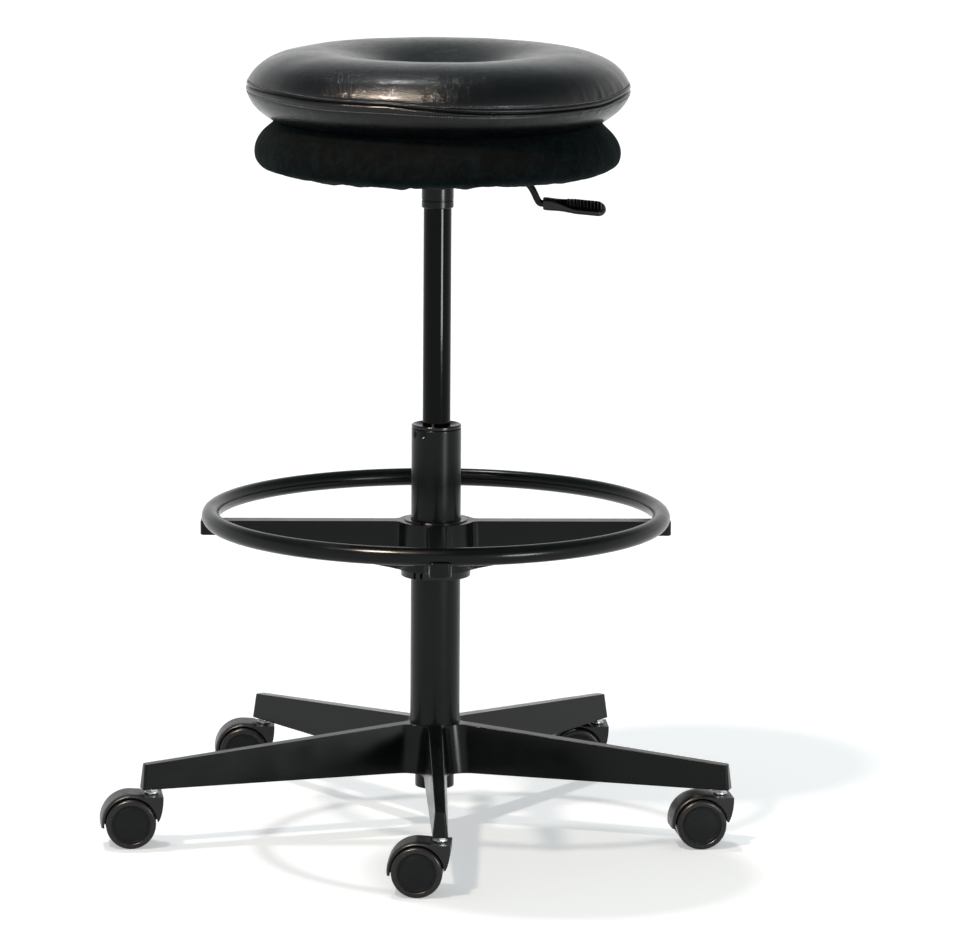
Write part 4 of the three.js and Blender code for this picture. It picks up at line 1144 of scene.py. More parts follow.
@dataclass
class Lever:
    """The bent rod on its pivot, and the moulded handle with thumb ribs."""

    height: float = 657.5
    rod_radius: float = 3.5
    inner_end: float = -1.5
    bend_start: float = 79.0
    bend_pull: float = 18.0
    entry: float = 103.0
    entry_pull: float = 6.0
    rod_end: float = 117.0
    eye_radius: float = 5.0
    eye_width: float = 8.6
    eye_bore: float = 1.8
    pivot_x: float = 28.0
    start: float = 105.0
    length: float = 63.0
    root_drop: float = 23.5
    tip_drop: float = 29.2
    root_size: Point = (12.0, 13.0)
    blade_size: Point = (21.0, 7.5)
    roll: float = 28.0
    rib_first: float = 24.0
    rib_pitch: float = 3.5
    rib_count: int = 10
    rib_height: float = 1.1
    section_points: int = 36

    def drop(self, x: float) -> float:
        """How far the handle's middle line lies under the pivot at a distance from the column."""
        return self.root_drop + (self.tip_drop - self.root_drop) * (x - self.start) / self.length

    def rod(self) -> None:
        """Sweeps the rod along its bend, and adds the eye."""
        curve = bpy.data.curves.new("lever_line", "CURVE")
        curve.dimensions = "3D"
        curve.bevel_depth = self.rod_radius
        curve.bevel_resolution = 6
        curve.resolution_u = 16
        curve.use_fill_caps = True
        line = curve.splines.new("BEZIER")
        line.bezier_points.add(3)
        slope = Vector((1, 0, -(self.tip_drop - self.root_drop) / self.length))
        stops = [
            (Vector((self.inner_end, 0, self.height)), Vector((1, 0, 0)), 10, 10),
            (Vector((self.bend_start, 0, self.height)), Vector((1, 0, 0)), 10, self.bend_pull),
            (Vector((self.entry, 0, self.height - self.drop(self.entry))), slope, self.entry_pull, 4),
            (Vector((self.rod_end, 0, self.height - self.drop(self.rod_end))), slope, 4, 4),
        ]
        for point, (place, along, before, after) in zip(line.bezier_points, stops):
            point.handle_left_type = point.handle_right_type = "FREE"
            point.co = place
            point.handle_left = place - along * before
            point.handle_right = place + along * after
        thing = linked("lever_line", curve)
        form = as_shown(thing)
        bpy.data.batch_remove([thing, curve])
        bmesh.ops.remove_doubles(form, verts=form.verts, dist=MERGE_MM)
        bmesh.ops.recalc_face_normals(form, faces=form.faces)
        across = shifted(self.pivot_x, 0, self.height) @ spun(90, "X")
        half = self.eye_width / 2
        eye = moved(soften(drum(self.eye_radius, -half, half), 0.5, 2, 60), across)
        form = combined(form, eye, "UNION")
        form = combined(form, moved(drum(self.eye_bore, -half - OVERCUT, half + OVERCUT, 24), across))
        dressed("lever_rod_bent", form, POWDER_COAT, ["lever_rod"])

    def section(self, share: float) -> list[Place]:
        """The handle's outline at a share of its length: a boxy root that widens to a thin blade rolled forward."""
        blend = ramp(share, 0.05, 0.5)
        blend = blend * blend * (3 - 2 * blend)
        nose = max((share - 0.86) / 0.14, 0.0)
        blunt = max(math.sqrt(max(1 - nose ** 2, 0)), 0.12)
        start = min(0.86 + share / 0.03 * 0.14, 1.0)
        half_width = (self.root_size[0] + (self.blade_size[0] - self.root_size[0]) * blend) / 2 * blunt * start
        half_height = (self.root_size[1] + (self.blade_size[1] - self.root_size[1]) * blend) / 2 * blunt * start
        x = self.start + self.length * share
        turn = Matrix.Rotation(math.radians(self.roll) * blend, 3, "X")
        ring = []
        for i in range(self.section_points):
            a = FULL_TURN * i / self.section_points
            y = math.copysign(abs(math.cos(a)) ** 0.6, math.cos(a)) * half_width
            z = math.copysign(abs(math.sin(a)) ** 0.6, math.sin(a)) * half_height
            z += self.rib(x, y / half_width, z / half_height)
            point = turn @ Vector((0, y, z))
            ring.append((x, point.y, self.height - self.drop(x) + point.z))
        return ring

    def rib(self, x: float, across: float, up: float) -> float:
        """How far a thumb rib raises the upper face at a place."""
        along = (x - self.start - self.rib_first) / self.rib_pitch
        if not 0 <= along <= self.rib_count or up < 0.3 or not -0.62 < across < 0.86:
            return 0.0
        crest = max(math.sin(math.pi * (along % 1.0)), 0.0) ** 0.7
        edge = min((0.86 - across) / 0.12, (across + 0.62) / 0.12, 1.0)
        return self.rib_height * (crest - 0.35) * edge

    def handle(self) -> None:
        """Moulds the handle, and sinks the pin that locks it on the rod."""
        ribbed = (self.rib_first / self.length, (self.rib_first + self.rib_pitch * self.rib_count) / self.length)
        shares = sorted({
            *np.linspace(0, 0.04, 4), *np.linspace(0.04, ribbed[0], 14),
            *np.linspace(*ribbed, self.rib_count * 8 + 1), *np.linspace(ribbed[1], 1, 10),
        })
        form = lofted([self.section(float(share)) for share in shares])
        slope = math.atan2(self.tip_drop - self.root_drop, self.length)
        bore = moved(
            drum(self.rod_radius + 0.3, -4, (self.rod_end - self.start) / math.cos(slope) + 0.3, 32),
            shifted(self.start, 0, self.height - self.root_drop) @ Matrix.Rotation(math.pi / 2 + slope, 4, "Y"),
        )
        form = combined(form, bore)
        dressed("lever_handle_moulded", form, HANDLE, ["lever_handle"], crisp=50)
        self.rivet()

    def rivet(self) -> None:
        """The small dished rivet on the handle's boxy root, on the side that faces the front."""
        x = self.start + 6.0
        profile = [(0, -2.0), (1.1, -2.0), (1.1, 0.1), (0.8, 0.35), (0.4, 0.2), (0, 0.15)]
        face = self.root_size[0] / 2 * 0.97
        place = shifted(x, -face, self.height - self.drop(x)) @ spun(90, "X")
        dressed("handle_rivet", revolved(profile, 24), BLACK_OXIDE, [], place, body="lever")

    def build(self) -> None:
        """Builds the rod and the handle."""
        self.rod()
        self.handle()


# Casters


@dataclass
class Caster:
    """A hooded twin-wheel caster, drawn about its stem and trailing towards -X."""

    index: int
    stem_place: Point
    turn: float
    wheel_radius: float = 25.0
    wheel_inner: float = 6.0
    wheel_outer: float = 23.0
    shoulder: float = 3.0
    disc_radius: float = 19.0
    disc_recess: float = 0.8
    axle_radius: float = 3.0
    axle_cover: float = 4.0
    trail: float = 21.5
    pocket_radius: float = 26.6
    hood_radius: float = 29.6
    hood_half: float = 19.0
    hood_edge: float = 7.5
    hood_fall: float = 2.3
    web_radius: float = 21.0
    web_half: float = 5.5
    rear_angle: float = 188.0
    land_height: float = 51.6
    land_rear: float = 8.0
    land_front: float = 11.0
    land_step: float = 1.0
    skirt_foot: Point = (6.3, 27.1)
    washer_radius: float = 7.0
    washer_thickness: float = 2.0
    nut_across: float = 11.2
    stem_radius: float = 4.0
    spigot_radius: float = 3.5
    spigot_low: float = 30.6
    leg_underside: float = 57.0
    stem_top: float = 73.0
    gap: float = 0.3

    def place(self) -> Matrix:
        """Where the caster's stem stands, and how far the caster is turned."""
        return shifted(*self.stem_place) @ spun(self.turn)

    def outline(self, fall: float) -> list[Point]:
        """The hood's side view, its crown lowered by the fall."""
        axle = (-self.trail, self.wheel_radius)
        outer = self.hood_radius - fall
        rear = math.radians(self.rear_angle)
        inside = self.wheel_radius - 2
        crown = arc(axle, outer, self.rear_angle, 90, 40)
        step = min(axle[1] + outer - self.land_step, self.land_height + 2.0)
        front = self.land_front, self.land_height
        foot = self.skirt_foot
        belly = (self.land_front, self.land_height - 16.0)
        skirt = [
            ((1 - t) ** 2 * front[0] + 2 * t * (1 - t) * belly[0] + t * t * foot[0],
             (1 - t) ** 2 * front[1] + 2 * t * (1 - t) * belly[1] + t * t * foot[1])
            for t in np.linspace(0, 1, 12)
        ]
        rear_tip = (axle[0] + self.pocket_radius * math.cos(rear), axle[1] + self.pocket_radius * math.sin(rear))
        return [rear_tip, *crown, (-self.land_rear - 3.0, step + 0.4), (-self.land_rear, step - 0.4),
                (-self.land_rear + 0.8, self.land_height), *skirt, (axle[0] + inside, axle[1]),
                (axle[0] - inside, axle[1])]

    def hood(self) -> Form:
        """The hood, rounded over along both of its long edges, with the web and skirt under it."""
        flat = self.hood_half - self.hood_edge
        angles = np.linspace(0, math.pi / 2 * 0.96, 7)
        lifts = [(flat + self.hood_edge * math.sin(a), self.hood_fall * (1 - math.cos(a))) for a in angles]
        stations = [*[(-y, fall) for y, fall in reversed(lifts)], *lifts]
        rings = [[(x, y, z) for x, z in self.outline(fall)] for y, fall in stations]
        shell = lofted(rings)
        web = moved(drum(self.web_radius, -self.web_half, self.web_half, 64), self.axle_frame())
        shell = combined(shell, web, "UNION")
        far = self.hood_half + OVERCUT
        pockets = [
            moved(drum(self.pocket_radius, low, high, 96), self.axle_frame())
            for low, high in ((-far, -self.web_half), (self.web_half, far))
        ]
        shell = combined(shell, gathered(pockets))
        bores = gathered([
            moved(drum(self.axle_radius + self.gap, -far, far, 24), self.axle_frame()),
            drum(self.spigot_radius + self.gap, self.spigot_low - self.gap, self.land_height + OVERCUT, 24),
        ])
        return combined(shell, bores)

    def axle_frame(self) -> Matrix:
        """What lays a form turned about Z along the axle."""
        return shifted(-self.trail, 0, self.wheel_radius) @ spun(-90, "X")

    def stem(self) -> Form:
        """The stem with its washer and hexagon nut."""
        washer_low = self.land_height + self.gap
        washer_top = washer_low + self.washer_thickness
        profile = [
            (0, self.spigot_low), (self.spigot_radius, self.spigot_low), (self.spigot_radius, washer_low),
            (self.washer_radius, washer_low), (self.washer_radius, washer_top), (self.stem_radius, washer_top),
            (self.stem_radius, self.stem_top), (0, self.stem_top),
        ]
        stem = soften(revolved(profile, 40), 0.45, 2, 60)
        nut = drum(self.nut_across / 2 / math.cos(math.pi / 6), washer_top - 0.2, self.leg_underside - self.gap, 6)
        return combined(stem, soften(nut, 0.35, 2, 50), "UNION")

    def tread(self) -> Form:
        """The wheel with its rounded tread and its recess for the disc, drawn on the +Y side."""
        disc_floor = self.wheel_outer - self.disc_recess - 1.0
        bore = self.axle_radius + self.gap
        profile = [
            (bore, self.wheel_inner),
            (self.wheel_radius - 1, self.wheel_inner),
            (self.wheel_radius, self.wheel_inner + 1),
            (self.wheel_radius, self.wheel_outer - self.shoulder),
            *arc((self.wheel_radius - self.shoulder, self.wheel_outer - self.shoulder), self.shoulder,
                 math.degrees(0.2), 90, 7),
            (self.disc_radius + 0.9, self.wheel_outer),
            (self.disc_radius + 0.5, self.wheel_outer - 0.4),
            (self.disc_radius + 0.5, disc_floor),
            (0, disc_floor),
            (0, self.wheel_outer - self.axle_cover),
            (bore, self.wheel_outer - self.axle_cover),
        ]
        return revolved(profile, 96, closed=True)

    def disc(self) -> Form:
        """The hub disc pressed into the wheel's face, faintly domed, with a fine edge line."""
        face = self.wheel_outer - self.disc_recess
        floor = face - 0.95
        line = face - 0.25
        profile = [
            (0, floor), (self.disc_radius - 0.3, floor), (self.disc_radius - 0.3, line), (self.disc_radius - 0.5, face),
            (self.disc_radius - 2.0, face), (self.disc_radius - 2.2, line), (self.disc_radius - 2.6, line),
            (self.disc_radius - 2.8, face), (6.0, face + 0.12), (0, face + 0.18),
        ]
        return revolved(profile, 96)

    def build(self) -> None:
        """Sets the caster under its leg."""
        name = f"caster_{self.index}"
        place = self.place()
        dressed(f"{name}_hood", self.hood(), NYLON, [f"{name}_housing"], place, crisp=30)
        dressed(f"{name}_threaded_stem", self.stem(), ZINC, [f"{name}_stem"], place)
        for side, word in ((-1, "front"), (1, "back")):
            wheel = f"{name}_wheel_{word}"
            flip = Matrix.Rotation(math.pi, 4, "Z") if side < 0 else Matrix.Identity(4)
            onto = place @ shifted(-self.trail, 0, self.wheel_radius) @ flip @ spun(-90, "X")
            dressed(f"{name}_{word}_tread", self.tread(), TREAD, [wheel], onto)
            dressed(f"{name}_{word}_disc", self.disc(), WHEEL_DISC, [], onto, body=body_under(wheel))


def casters() -> list[Caster]:
    """The five casters, each under the end of its leg and turned a little its own way."""
    turns = (-3.0, 7.0, 3.0, 3.0, 6.0)
    angles = [math.radians(FIRST_ARM) + FULL_TURN * k / len(turns) for k in range(len(turns))]
    return [Caster(k, (STEM_CIRCLE * math.cos(angle), STEM_CIRCLE * math.sin(angle)), turn)
            for k, (angle, turn) in enumerate(zip(angles, turns), 1)]


# Soft seat


def smooth_line(points: Sequence[Point], places: Iterable[float]) -> np.ndarray:
    """Points along a smooth line through given ones.

    Args:
        points: The line's own points.
        places: Distances along it, measured over the straight chords.

    Returns:
        One row for each place.
    """
    knots = np.array(points, float)
    chord = np.concatenate([[0], np.cumsum(np.hypot(*np.diff(knots, axis=0).T))])
    slopes = np.gradient(knots, chord, axis=0)
    where = np.clip(np.array(list(places), float), 0, chord[-1])
    left = np.clip(np.searchsorted(chord, where, side="right") - 1, 0, len(chord) - 2)
    span = (chord[left + 1] - chord[left])[:, None]
    t = ((where - chord[left])[:, None]) / span
    a, b = knots[left], knots[left + 1]
    ma, mb = slopes[left] * span, slopes[left + 1] * span
    return (2 * t**3 - 3 * t**2 + 1) * a + (t**3 - 2 * t**2 + t) * ma + (3 * t**2 - 2 * t**3) * b + (t**3 - t**2) * mb


@dataclass
class SoftForm:
    """A turned cushion that is filled by a cloth simulation and then given its seams and folds."""

    name: str
    node: str
    profile: list[Point]
    ring_places: list[float]
    segments: int = 144
    slack: float = 1.0
    pressure: float = 4.0
    cap: float = 7.0
    fill: float = 0.6
    inward: float = 1.0
    tension: float = 40.0
    compression: float = 30.0
    bending: float = 4.0
    quality: int = 6
    frames: int = 20

    def line_at(self, places: Iterable[float]) -> np.ndarray:
        """The profile's points at distances along it."""
        return smooth_line(self.profile, places)

    def hold(self, place: float) -> float:
        """How firmly the cover is held at a distance along the profile, from 0 to 1."""
        return 0.0

    def slide(self, angle: float, place: float) -> float:
        """How far the sewn lines wander along the profile there."""
        return 0.0

    def turned(self) -> Form:
        """Spins the profile, then slides its rings along the form and draws the free panels in by the slack."""
        rings = self.line_at(self.ring_places)
        form = revolved([tuple(p) for p in rings], self.segments)
        keys = {(round(r, 2), round(z, 2)): s for (r, z), s in zip(rings, self.ring_places)}
        place_layer = form.verts.layers.float.new("place")
        hold_layer = form.verts.layers.float.new("hold")
        for vert in form.verts:
            r = vert.co.xy.length
            place = keys.get((round(r, 2), round(vert.co.z, 2)))
            if place is None:
                place = min(keys.items(), key=lambda item: math.hypot(item[0][0] - r, item[0][1] - vert.co.z))[1]
            vert[place_layer] = place
            vert[hold_layer] = self.hold(place)
        ringed = [vert for vert in form.verts if vert.co.xy.length > 0.01]
        onto = np.array([v[place_layer] + self.slide(math.atan2(v.co.x, -v.co.y), v[place_layer]) for v in ringed])
        way = self.line_at(onto + 1) - self.line_at(onto - 1)
        way /= np.linalg.norm(way, axis=1, keepdims=True)
        drawn = np.array([self.slack_at(v[place_layer]) * (1 - v[hold_layer]) * self.inward for v in ringed])
        spots = self.line_at(onto) + np.stack([-way[:, 1], way[:, 0]], axis=1) * drawn[:, None]
        for vert, (ring_r, ring_z) in zip(ringed, spots):
            share = ring_r / vert.co.xy.length
            vert.co = (vert.co.x * share, vert.co.y * share, ring_z)
        return form

    def slack_at(self, place: float) -> float:
        """How far the unfilled cover is drawn in at a distance along the profile."""
        return self.slack

    def simulated(self, form: Form) -> Form:
        """Fills the form with air pressure under its held seams.

        Args:
            form: The slack form, in millimetres. It is freed.

        Returns:
            The filled form.
        """
        mesh = kept(moved(form, Matrix.Scale(MM, 4)), f"{self.name}_cloth")
        thing = linked(mesh.name, mesh)
        before = np.array([v.co for v in mesh.vertices], float)
        after = before
        holds = thing.vertex_groups.new(name="held")
        for vert, hold in zip(mesh.vertices, mesh.attributes["hold"].data):
            holds.add([vert.index], hold.value, "REPLACE")
        cloth = thing.modifiers.new("cloth", "CLOTH")
        cloth.settings.use_pressure = True
        cloth.settings.uniform_pressure_force = self.pressure
        cloth.settings.vertex_group_mass = "held"
        cloth.settings.tension_stiffness = self.tension
        cloth.settings.compression_stiffness = self.compression
        cloth.settings.bending_stiffness = self.bending
        cloth.settings.effector_weights.gravity = 0
        cloth.settings.quality = self.quality
        cloth.point_cache.frame_start = 1
        cloth.point_cache.frame_end = self.frames
        for step in range(1, self.frames + 1):
            bpy.context.scene.frame_set(step)
        filled = thing.evaluated_get(bpy.context.evaluated_depsgraph_get())
        after = np.array([v.co for v in filled.data.vertices], float)
        bpy.context.scene.frame_set(1)
        shift = after - before
        size = np.linalg.norm(shift, axis=1, keepdims=True)
        log.info("%s swelled by up to %.1f mm", self.name, size.max() / MM)
        after = before + shift * np.minimum(1, self.cap * MM / np.maximum(size, 1e-9))
        thing.modifiers.remove(cloth)
        for vert, place in zip(mesh.vertices, after):
            vert.co = place
        finer = thing.modifiers.new("finer", "SUBSURF")
        finer.levels = finer.render_levels = 2
        bpy.context.view_layer.update()
        made = as_shown(thing)
        bpy.data.batch_remove([thing, mesh])
        return moved(made, Matrix.Scale(1 / MM, 4))

    def relief(self, angle: float, place: float, at: Vector) -> float:
        """How far the seams and folds raise or sink the skin there, in millimetres."""
        return 0.0

    def build(self, finish: Finish) -> Form:
        """Makes the cushion and sets it in the frame.

        Args:
            finish: What it is covered in.

        Returns:
            A copy of its final form, about the column's axis.
        """
        form = self.simulated(self.turned())
        places = form.verts.layers.float["place"]
        form.normal_update()
        shifts = [
            vert.normal * self.relief(math.atan2(vert.co.x, -vert.co.y), vert[places], vert.co) for vert in form.verts
        ]
        for vert, shift in zip(form.verts, shifts):
            vert.co += shift
        copy = form.copy()
        piece = dressed(self.name, form, finish, [self.node], crisp=180)
        piece.modifiers.clear()
        return copy


def round_noise(angle: float, waves: float, seed: float) -> float:
    """Smooth noise round the seat that closes on itself."""
    return noise.noise(Vector((math.cos(angle) * waves, math.sin(angle) * waves, seed)))


def wander(angle: float, seed: float, waves: float) -> float:
    """A smooth random line round the seat, from about -1 to 1."""
    return round_noise(angle, waves, seed) * 1.6


def bell(value: float, middle: float, width: float) -> float:
    """A smooth bump, 1 at its middle and almost nothing two widths away."""
    return math.exp(-((value - middle) / width) ** 2)


def chords(profile: Sequence[Point]) -> list[float]:
    """How far along an outline each of its corners lies."""
    return [float(s) for s in np.cumsum([0, *(math.dist(a, b) for a, b in zip(profile, profile[1:]))])]


@dataclass
class LeatherCushion(SoftForm):
    """The round leather cushion: two panels joined by a felled, twice-stitched seam, over a sunk middle."""

    seam_place: float = 0.0
    stitch_rows: tuple[float, float] = (-4.9, 5.0)
    stitch_pitch: float = 2.9
    row_drift: tuple[tuple[float, float], ...] = (
        (-180, 0), (-78, -0.6), (-50, -2.0), (-34, -2.5), (-14, -2.2), (12, 0), (57, 0.3), (180, 0))
    seam_drift: tuple[tuple[float, float], ...] = (
        (-180, 1.5), (-130, 2.5), (-78, 3.9), (-55, 4.6), (-34, 3.3), (-14.5, 2.9), (-2.4, -0.9), (12.6, -4.8),
        (28.6, -6.1), (39.4, -5.9), (57.5, -5.2), (71.4, -1.2), (81.7, 0.4), (130, 2.0), (180, 1.5))
    reach_down: float = 34.0
    reach_up: float = 60.0
    seam_depth: float = 2.3
    seam_width: float = 0.8
    roll_height: float = 0.9
    groove_depth: float = 1.05
    groove_width: float = 0.75
    dents: float = 0.5
    stitch_radius: float = 0.62
    stitch_lift: float = 0.8
    stitch_lean: float = 0.14

    def hold(self, place: float) -> float:
        """Firm along the seam, under the cushion and in its dimple."""
        seam = 1 - ramp(abs(place - self.seam_place), 6.5, 8)
        under = 1 - ramp(place, 170, 8)
        middle = 1 - ramp(self.ring_places[-1] - place, 55, 35)
        return max(seam, under, middle)

    def slack_at(self, place: float) -> float:
        """Only the upper panel starts slack: the lower one is short, and is cut full."""
        return self.slack if place > self.seam_place else -0.8

    @staticmethod
    def drift_at(line: tuple[tuple[float, float], ...], angle: float) -> float:
        """A sewn line's distance from its even course, read off a table of degrees and millimetres."""
        degrees, drifts = zip(*line)
        return float(np.interp(math.degrees(angle), degrees, drifts))

    def slide(self, angle: float, place: float) -> float:
        """The seam wanders up and down, and the skin beside it follows less and less."""
        drift = self.drift_at(self.seam_drift, angle) + 0.4 * wander(angle, 3.1, 2.2)
        away = abs(place - self.seam_place)
        reach = self.reach_down if place < self.seam_place else self.reach_up
        return drift * max(1 - away / reach, 0) ** 1.2

    def relief(self, angle: float, place: float, at: Vector) -> float:
        """A deep line at the seam, a roll on each side of it, a groove under each stitch row, and puckers beyond."""
        t = place - self.seam_place
        foam = self.dents * noise.noise(at * 0.022)
        if abs(t) > 45:
            return foam
        shift = self.drift_at(self.row_drift, angle)
        low, high = (row + shift for row in self.stitch_rows)
        height = -self.seam_depth * bell(t, 0, self.seam_width)
        for row in (high, low):
            height += self.roll_height * bell(t, row * 0.5, row * 0.28)
        for row in (low, high):
            height -= self.groove_depth * bell(t, row, self.groove_width)
        beyond = t - high if t > high else low - t
        if beyond > 0:
            right = bell(math.degrees(angle), 66, 20) * (1.0 if t > 0 else 0.4)
            strength = 0.3 + 1.7 * right + 0.35 * wander(angle, 8.0, 2.5)
            fold = round_noise(angle, 40, 5.0 + 0.02 * beyond)
            height += strength * fold * math.exp(-beyond / 7.0) * min(beyond / 1.5, 1)
        return height + foam

    def stitches(self, form: Form) -> None:
        """Lays both rows of stitches in their grooves, each stitch a short waxed loop."""
        places = form.verts.layers.float["place"]
        columns: dict[int, list[tuple[float, Vector, Vector]]] = {}
        count = self.segments * 4
        for vert in form.verts:
            if abs(vert[places] - self.seam_place) < 12:
                turn = math.atan2(vert.co.y, vert.co.x) / FULL_TURN * count
                columns.setdefault(round(turn) % count, []).append((vert[places], vert.co.copy(), vert.normal.copy()))
        for row, word in zip(self.stitch_rows, ("lower", "upper")):
            line, ways = [], []
            for key in sorted(columns):
                middle = columns[key][0][1]
                shift = self.drift_at(self.row_drift, math.atan2(middle.x, -middle.y))
                marks, spots, norms = zip(*sorted(columns[key], key=lambda item: item[0]))
                want = self.seam_place + row + shift
                for found, rows in ((line, np.array(spots)), (ways, np.array(norms))):
                    found.append([np.interp(want, marks, rows[:, i]) for i in range(3)])
            self.sew(word, np.array(line), np.array(ways))

    def sew(self, word: str, line: np.ndarray, ways: np.ndarray) -> None:
        """Places the stitches of one row along a closed line on the skin."""
        closed = np.vstack([line, line[:1]])
        ways = np.vstack([ways, ways[:1]])
        run = np.concatenate([[0], np.cumsum(np.linalg.norm(np.diff(closed, axis=0), axis=1))])
        count = round(run[-1] / self.stitch_pitch)
        middles = run[-1] * (np.arange(count) + 0.5) / count
        spots, aheads, ups = (
            np.stack([np.interp(middles + on, run, rows[:, i]) for i in range(3)], axis=1)
            for rows, on in ((closed, 0.0), (closed, 0.5), (ways, 0.0))
        )
        blocks = []
        for k, (spot, ahead, up) in enumerate(zip(spots, aheads, ups)):
            if k % 24 == 0:
                blocks.append(bmesh.new())
            spot, up = Vector(spot), Vector(up).normalized()
            along = (Vector(ahead) - spot).normalized()
            lean = (along + up.cross(along).normalized() * self.stitch_lean).normalized()
            basis = Matrix((lean, up.cross(lean), up)).transposed().to_4x4()
            size = Matrix.Diagonal((self.stitch_pitch * 0.25, self.stitch_radius, self.stitch_radius, 1))
            bmesh.ops.create_uvsphere(blocks[-1], u_segments=6, v_segments=4, radius=1.0,
                                      matrix=Matrix.Translation(spot + up * self.stitch_lift) @ basis @ size)
        # The thread's grey colour is painted highlight on what is black thread
        dressed(f"cushion_stitches_{word}", gathered(blocks), PAINTED_HIGHLIGHT_THREAD, [], crisp=180, body=body_under(self.node))


@dataclass
class SuedePad(SoftForm):
    """The suede pad under the cushion: a bulging side, gathered into folds where it is pulled under the board."""

    crease_place: float = 0.0
    hem_place: float = 0.0
    gathers: float = 2.6
    gather_reach: float = 15.0
    dents: float = 1.5

    def hold(self, place: float) -> float:
        """Firm on top, in the crease under the cushion, and from the hem to the board."""
        return 1 - min(ramp(place, self.crease_place, 8), ramp(self.hem_place - place, 0, 10))

    def relief(self, angle: float, place: float, at: Vector) -> float:
        """Gathers that fan out from the hem and die away up the side, over slow dents in the foam."""
        t = self.hem_place - place
        if t < -20 or place < self.crease_place:
            return 0.0
        gather, fine = round_noise(angle, 9, 2.0 + 0.01 * t), round_noise(angle, 24, 7.0)
        fade = math.exp(-max(t, 0) / self.gather_reach)
        slow = noise.noise(at * 0.02 + Vector((4, 1, 9)))
        crease = min((place - self.crease_place) / 10, 1)
        return (self.gathers * gather + 1.0 * fine) * fade + self.dents * slow * crease


def leather_cushion() -> LeatherCushion:
    """The cushion on its measured outline, with rings packed close along the seam."""
    radius, low, height = 190.5, 717.0, 70.5
    lower = [(0.861, 0), (0.89, 0.06), (0.942, 0.174), (0.976, 0.274), (0.995, 0.36)]
    upper = [(0.995, 0.55), (0.971, 0.688), (0.925, 0.808), (0.852, 0.905), (0.755, 0.973), (0.64, 1), (0.525, 0.972),
             (0.394, 0.87), (0.262, 0.715), (0.131, 0.6), (0, 0.565)]
    shares = [(0, 0), (0.35, 0), (0.75, 0), *lower, (1, 0.452), *upper]
    profile = [(r * radius, low + z * height) for r, z in shares]
    chord = chords(profile)
    crease, seam, end = chord[3], chord[3 + len(lower)], chord[-1]
    near = [seam + d for d in (-9, -5.6, -3, -1.2, 0, 1.2, 3, 5.8, 9)]
    rings = [0, 50, 95, 130, 152, crease - 3, crease + 3, crease + 10, crease + 18, crease + 25, *near,
             *np.linspace(seam + 17, end, 22)]
    return LeatherCushion("leather_cushion_cover", "leather_cushion", profile, [float(s) for s in rings],
                          seam_place=seam, slack=0.7, fill=0.75)


def suede_pad() -> SuedePad:
    """The pad on its measured outline, open underneath for the board and the plate."""
    radius, low, height = 183.0, 665.7, 51.0
    side = [(0.8825, 1), (0.9235, 0.88), (0.959, 0.763), (0.986, 0.625), (1, 0.488), (1, 0.314), (0.989, 0.196),
            (0.956, 0.098), (0.896, 0.039), (0.815, 0)]
    top = low + height
    profile = [(0, top), (60, top), (120, top), *[(r * radius, low + z * height) for r, z in side], (132, low),
               (118, low), (118, low + 2.5), (134, low + 2.5), (150.3, low + 2.5), (150.3, low + 15.1),
               (100, low + 15.1), (0, low + 15.1)]
    chord = chords(profile)
    crease, hem = chord[3], chord[12]
    rings = [0, 60, 120, 150, *np.linspace(crease - 2, hem, 17), *chord[13:]]
    return SuedePad("suede_pad_cover", "seat_pad", profile, [float(s) for s in rings], crease_place=crease,
                    hem_place=hem, inward=-1.0)


# Nodes that stay as the frame gives them


def dress_carried_nodes() -> None:
    """Gives each CAD node that still shows a finish of its own, and eases its edges."""
    zinc = ["thrust_bearing", "piston_rod", "retaining_clip", "lever_pivot_pin",
            *(f"caster_{i}_axle" for i in range(1, 6))]
    for name, finish in {"seat_board": PLYWOOD, "bump_stop": RUBBER, **dict.fromkeys(zinc, ZINC)}.items():
        node = frame["nodes"][name]
        node.data.materials.clear()
        node.data.materials.append(finish.material())
        weld = node.modifiers.new("weld", "WELD")
        weld.merge_threshold = 0.01 * MM
        ease = node.modifiers.new("eased_edges", "BEVEL")
        ease.width = 0.3 * MM
        ease.segments = 2
        ease.limit_method = "ANGLE"
        ease.angle_limit = math.radians(50)
        log.info("%s: carried over, in %s", name, finish.name)


# Stage, light and camera


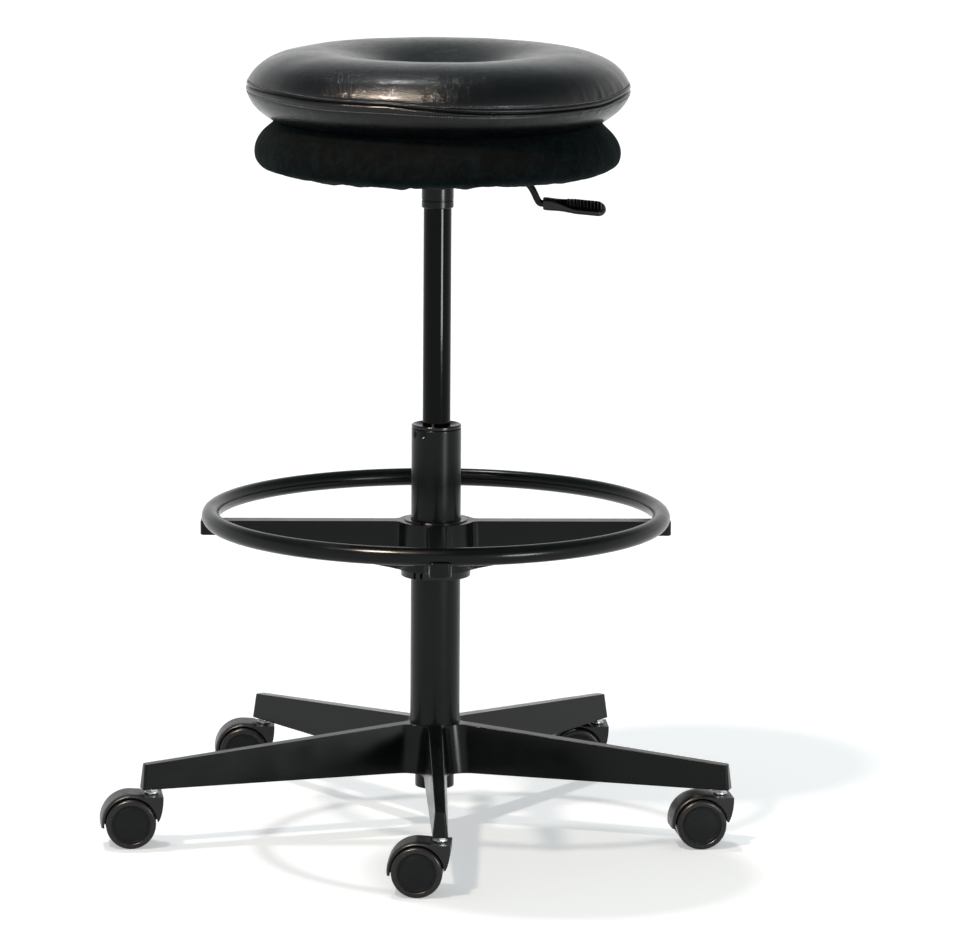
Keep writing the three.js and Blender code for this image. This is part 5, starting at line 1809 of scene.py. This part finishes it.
@dataclass
class Studio:
    """A pale floor, soft light, and the camera of the photograph."""

    distance: float = 6.0
    height: float = 1.4045
    pitch: float = 9.82
    yaw: float = 0.42
    roll: float = 0.39
    sensor: float = 36.0
    focal_pixels: float = 6062.5
    width_pixels: float = 960.0
    floor_half: float = 40.0
    floor_lift: float = 0.36
    dull_from: float = 0.2
    dull_to: float = 0.66
    seat_height: float = 0.75

    def floor(self) -> None:
        """A white floor, far wider than the view, lifted a little for the camera so that its shadows stay pale."""
        form = bmesh.new()
        bmesh.ops.create_grid(form, x_segments=2, y_segments=2, size=self.floor_half)
        floor = linked("studio_floor", kept(form, "studio_floor"))
        paper = bpy.data.materials.new("matt_white_paper")
        tree = cleared(paper)
        where = add_node(tree, "TexCoord").outputs["Object"]
        tint = blended(tree, noisy(tree, where, 4.0).outputs["Fac"], linear("#e9e9e9"), linear("#ececec"))
        matt = add_node(tree, "BsdfDiffuse", {"Color": tint})
        path = add_node(tree, "LightPath").outputs
        seen = reckoned(tree, "MAXIMUM", path["Is Camera Ray"], path["Is Glossy Ray"])
        seen = reckoned(tree, "MAXIMUM", seen, path["Is Transmission Ray"])
        lift = reckoned(tree, "MULTIPLY", seen, self.floor_lift)
        glow = add_node(tree, "Emission", {"Color": linear("#ffffff"), "Strength": lift})
        both = add_node(tree, "AddShader", {0: matt.outputs[0], 1: glow.outputs[0]})
        add_node(tree, "OutputMaterial", {"Surface": both.outputs[0]})
        floor.data.materials.append(paper)

    def light(self) -> None:
        """A pale surround, a key from the front left, a weaker lamp overhead, and two panels for long highlights."""
        self.surround()
        self.sun("key_front_left", (-0.285, -0.295, 0.75), 0.95, 4, "#fff6ea")
        self.sun("overhead_back", (-0.055, 0.09, 0.3175), 0.85, 3, "#ffffff")
        self.panel("softbox_front_left", Vector((-0.93, -1.29, 2.28)), (0.46, 0.26), 150, "#ffe9d4")
        self.panel("strip_right", Vector((1.05, -1.21, 0.38)), (0.4, 0.24), 14, "#ffffff")

    def surround(self) -> None:
        """The room: brightest near the horizon and duller overhead, as a white cyclorama under a dark ceiling."""
        world = bpy.context.scene.world = bpy.data.worlds.new("studio")
        tree = cleared(world)
        towards = add_node(tree, "TexCoord").outputs["Generated"]
        height = add_node(tree, "SeparateXYZ", {0: towards}).outputs["Z"]
        dull = ranged(tree, height, (self.dull_from, self.dull_to), soft=True)
        glow = add_node(tree, "Background", {
            "Color": blended(tree, dull, linear("#ffffff"), linear("#8a9699")),
            "Strength": 1.0,
        })
        add_node(tree, "OutputWorld", {"Surface": glow.outputs[0]})

    def lamp(self, name: str, kind: str, power: float, colour: str, source: Vector) -> bpy.types.Object:
        """A lamp that shines from a direction: watts for a panel, watts per square metre for a sun."""
        lamp = bpy.data.lights.new(name, kind)
        lamp.energy = power
        lamp.color = linear(colour)[:3]
        thing = linked(name, lamp)
        thing.rotation_euler = source.to_track_quat("Z", "Y").to_euler()
        return thing

    def sun(self, name: str, source: Place, strength: float, spread: float, colour: str) -> None:
        """A far soft lamp that shines from a direction."""
        self.lamp(name, "SUN", strength, colour, Vector(source)).data.angle = math.radians(spread)

    def panel(self, name: str, place: Vector, size: Point, power: float, colour: str) -> None:
        """A lit panel, turned towards the seat or the column, that only shows in reflections.

        Args:
            name: The lamp's name.
            place: The middle of the panel.
            size: Its width and height, in metres.
            power: Its power, in watts.
            colour: Its colour.
        """
        aim = Vector((0, 0, min(place.z, self.seat_height)))
        thing = self.lamp(name, "AREA", power, colour, place - aim)
        thing.data.shape = "RECTANGLE"
        thing.data.size, thing.data.size_y = size
        thing.location = place
        thing.visible_camera = thing.visible_diffuse = False

    def camera(self) -> None:
        """The camera straight in front of the column, a little above the seat, looking down."""
        lens = bpy.data.cameras.new("camera")
        lens.sensor_width = self.sensor
        lens.lens = self.focal_pixels / self.width_pixels * self.sensor
        thing = linked("camera", lens)
        axis = column_axis()
        thing.location = (axis.x, axis.y - self.distance, self.height)
        look = Matrix.Rotation(math.radians(-self.yaw), 3, "Z") @ Matrix.Rotation(math.radians(90 - self.pitch), 3, "X")
        thing.rotation_euler = (look @ Matrix.Rotation(math.radians(self.roll), 3, "Z")).to_euler()
        bpy.context.scene.camera = thing

    def build(self) -> None:
        """Sets the stage."""
        bpy.context.scene.view_settings.view_transform = "Standard"
        self.floor()
        self.light()
        self.camera()


def main() -> None:
    """Builds the stool piece by piece in the frame."""
    logging.basicConfig(level=logging.INFO, format="%(message)s")
    Studio().build()
    StarBase().build()
    Column().build()
    GasLift().build()
    SeatPlate().build()
    Lever().build()
    FootRing().build()
    for caster in casters():
        caster.build()
    cushion = leather_cushion()
    cover = cushion.build(LEATHER)
    cushion.stitches(cover)
    cover.free()
    suede_pad().build(SUEDE).free()
    dress_carried_nodes()


if __name__ == "__main__":
    main()
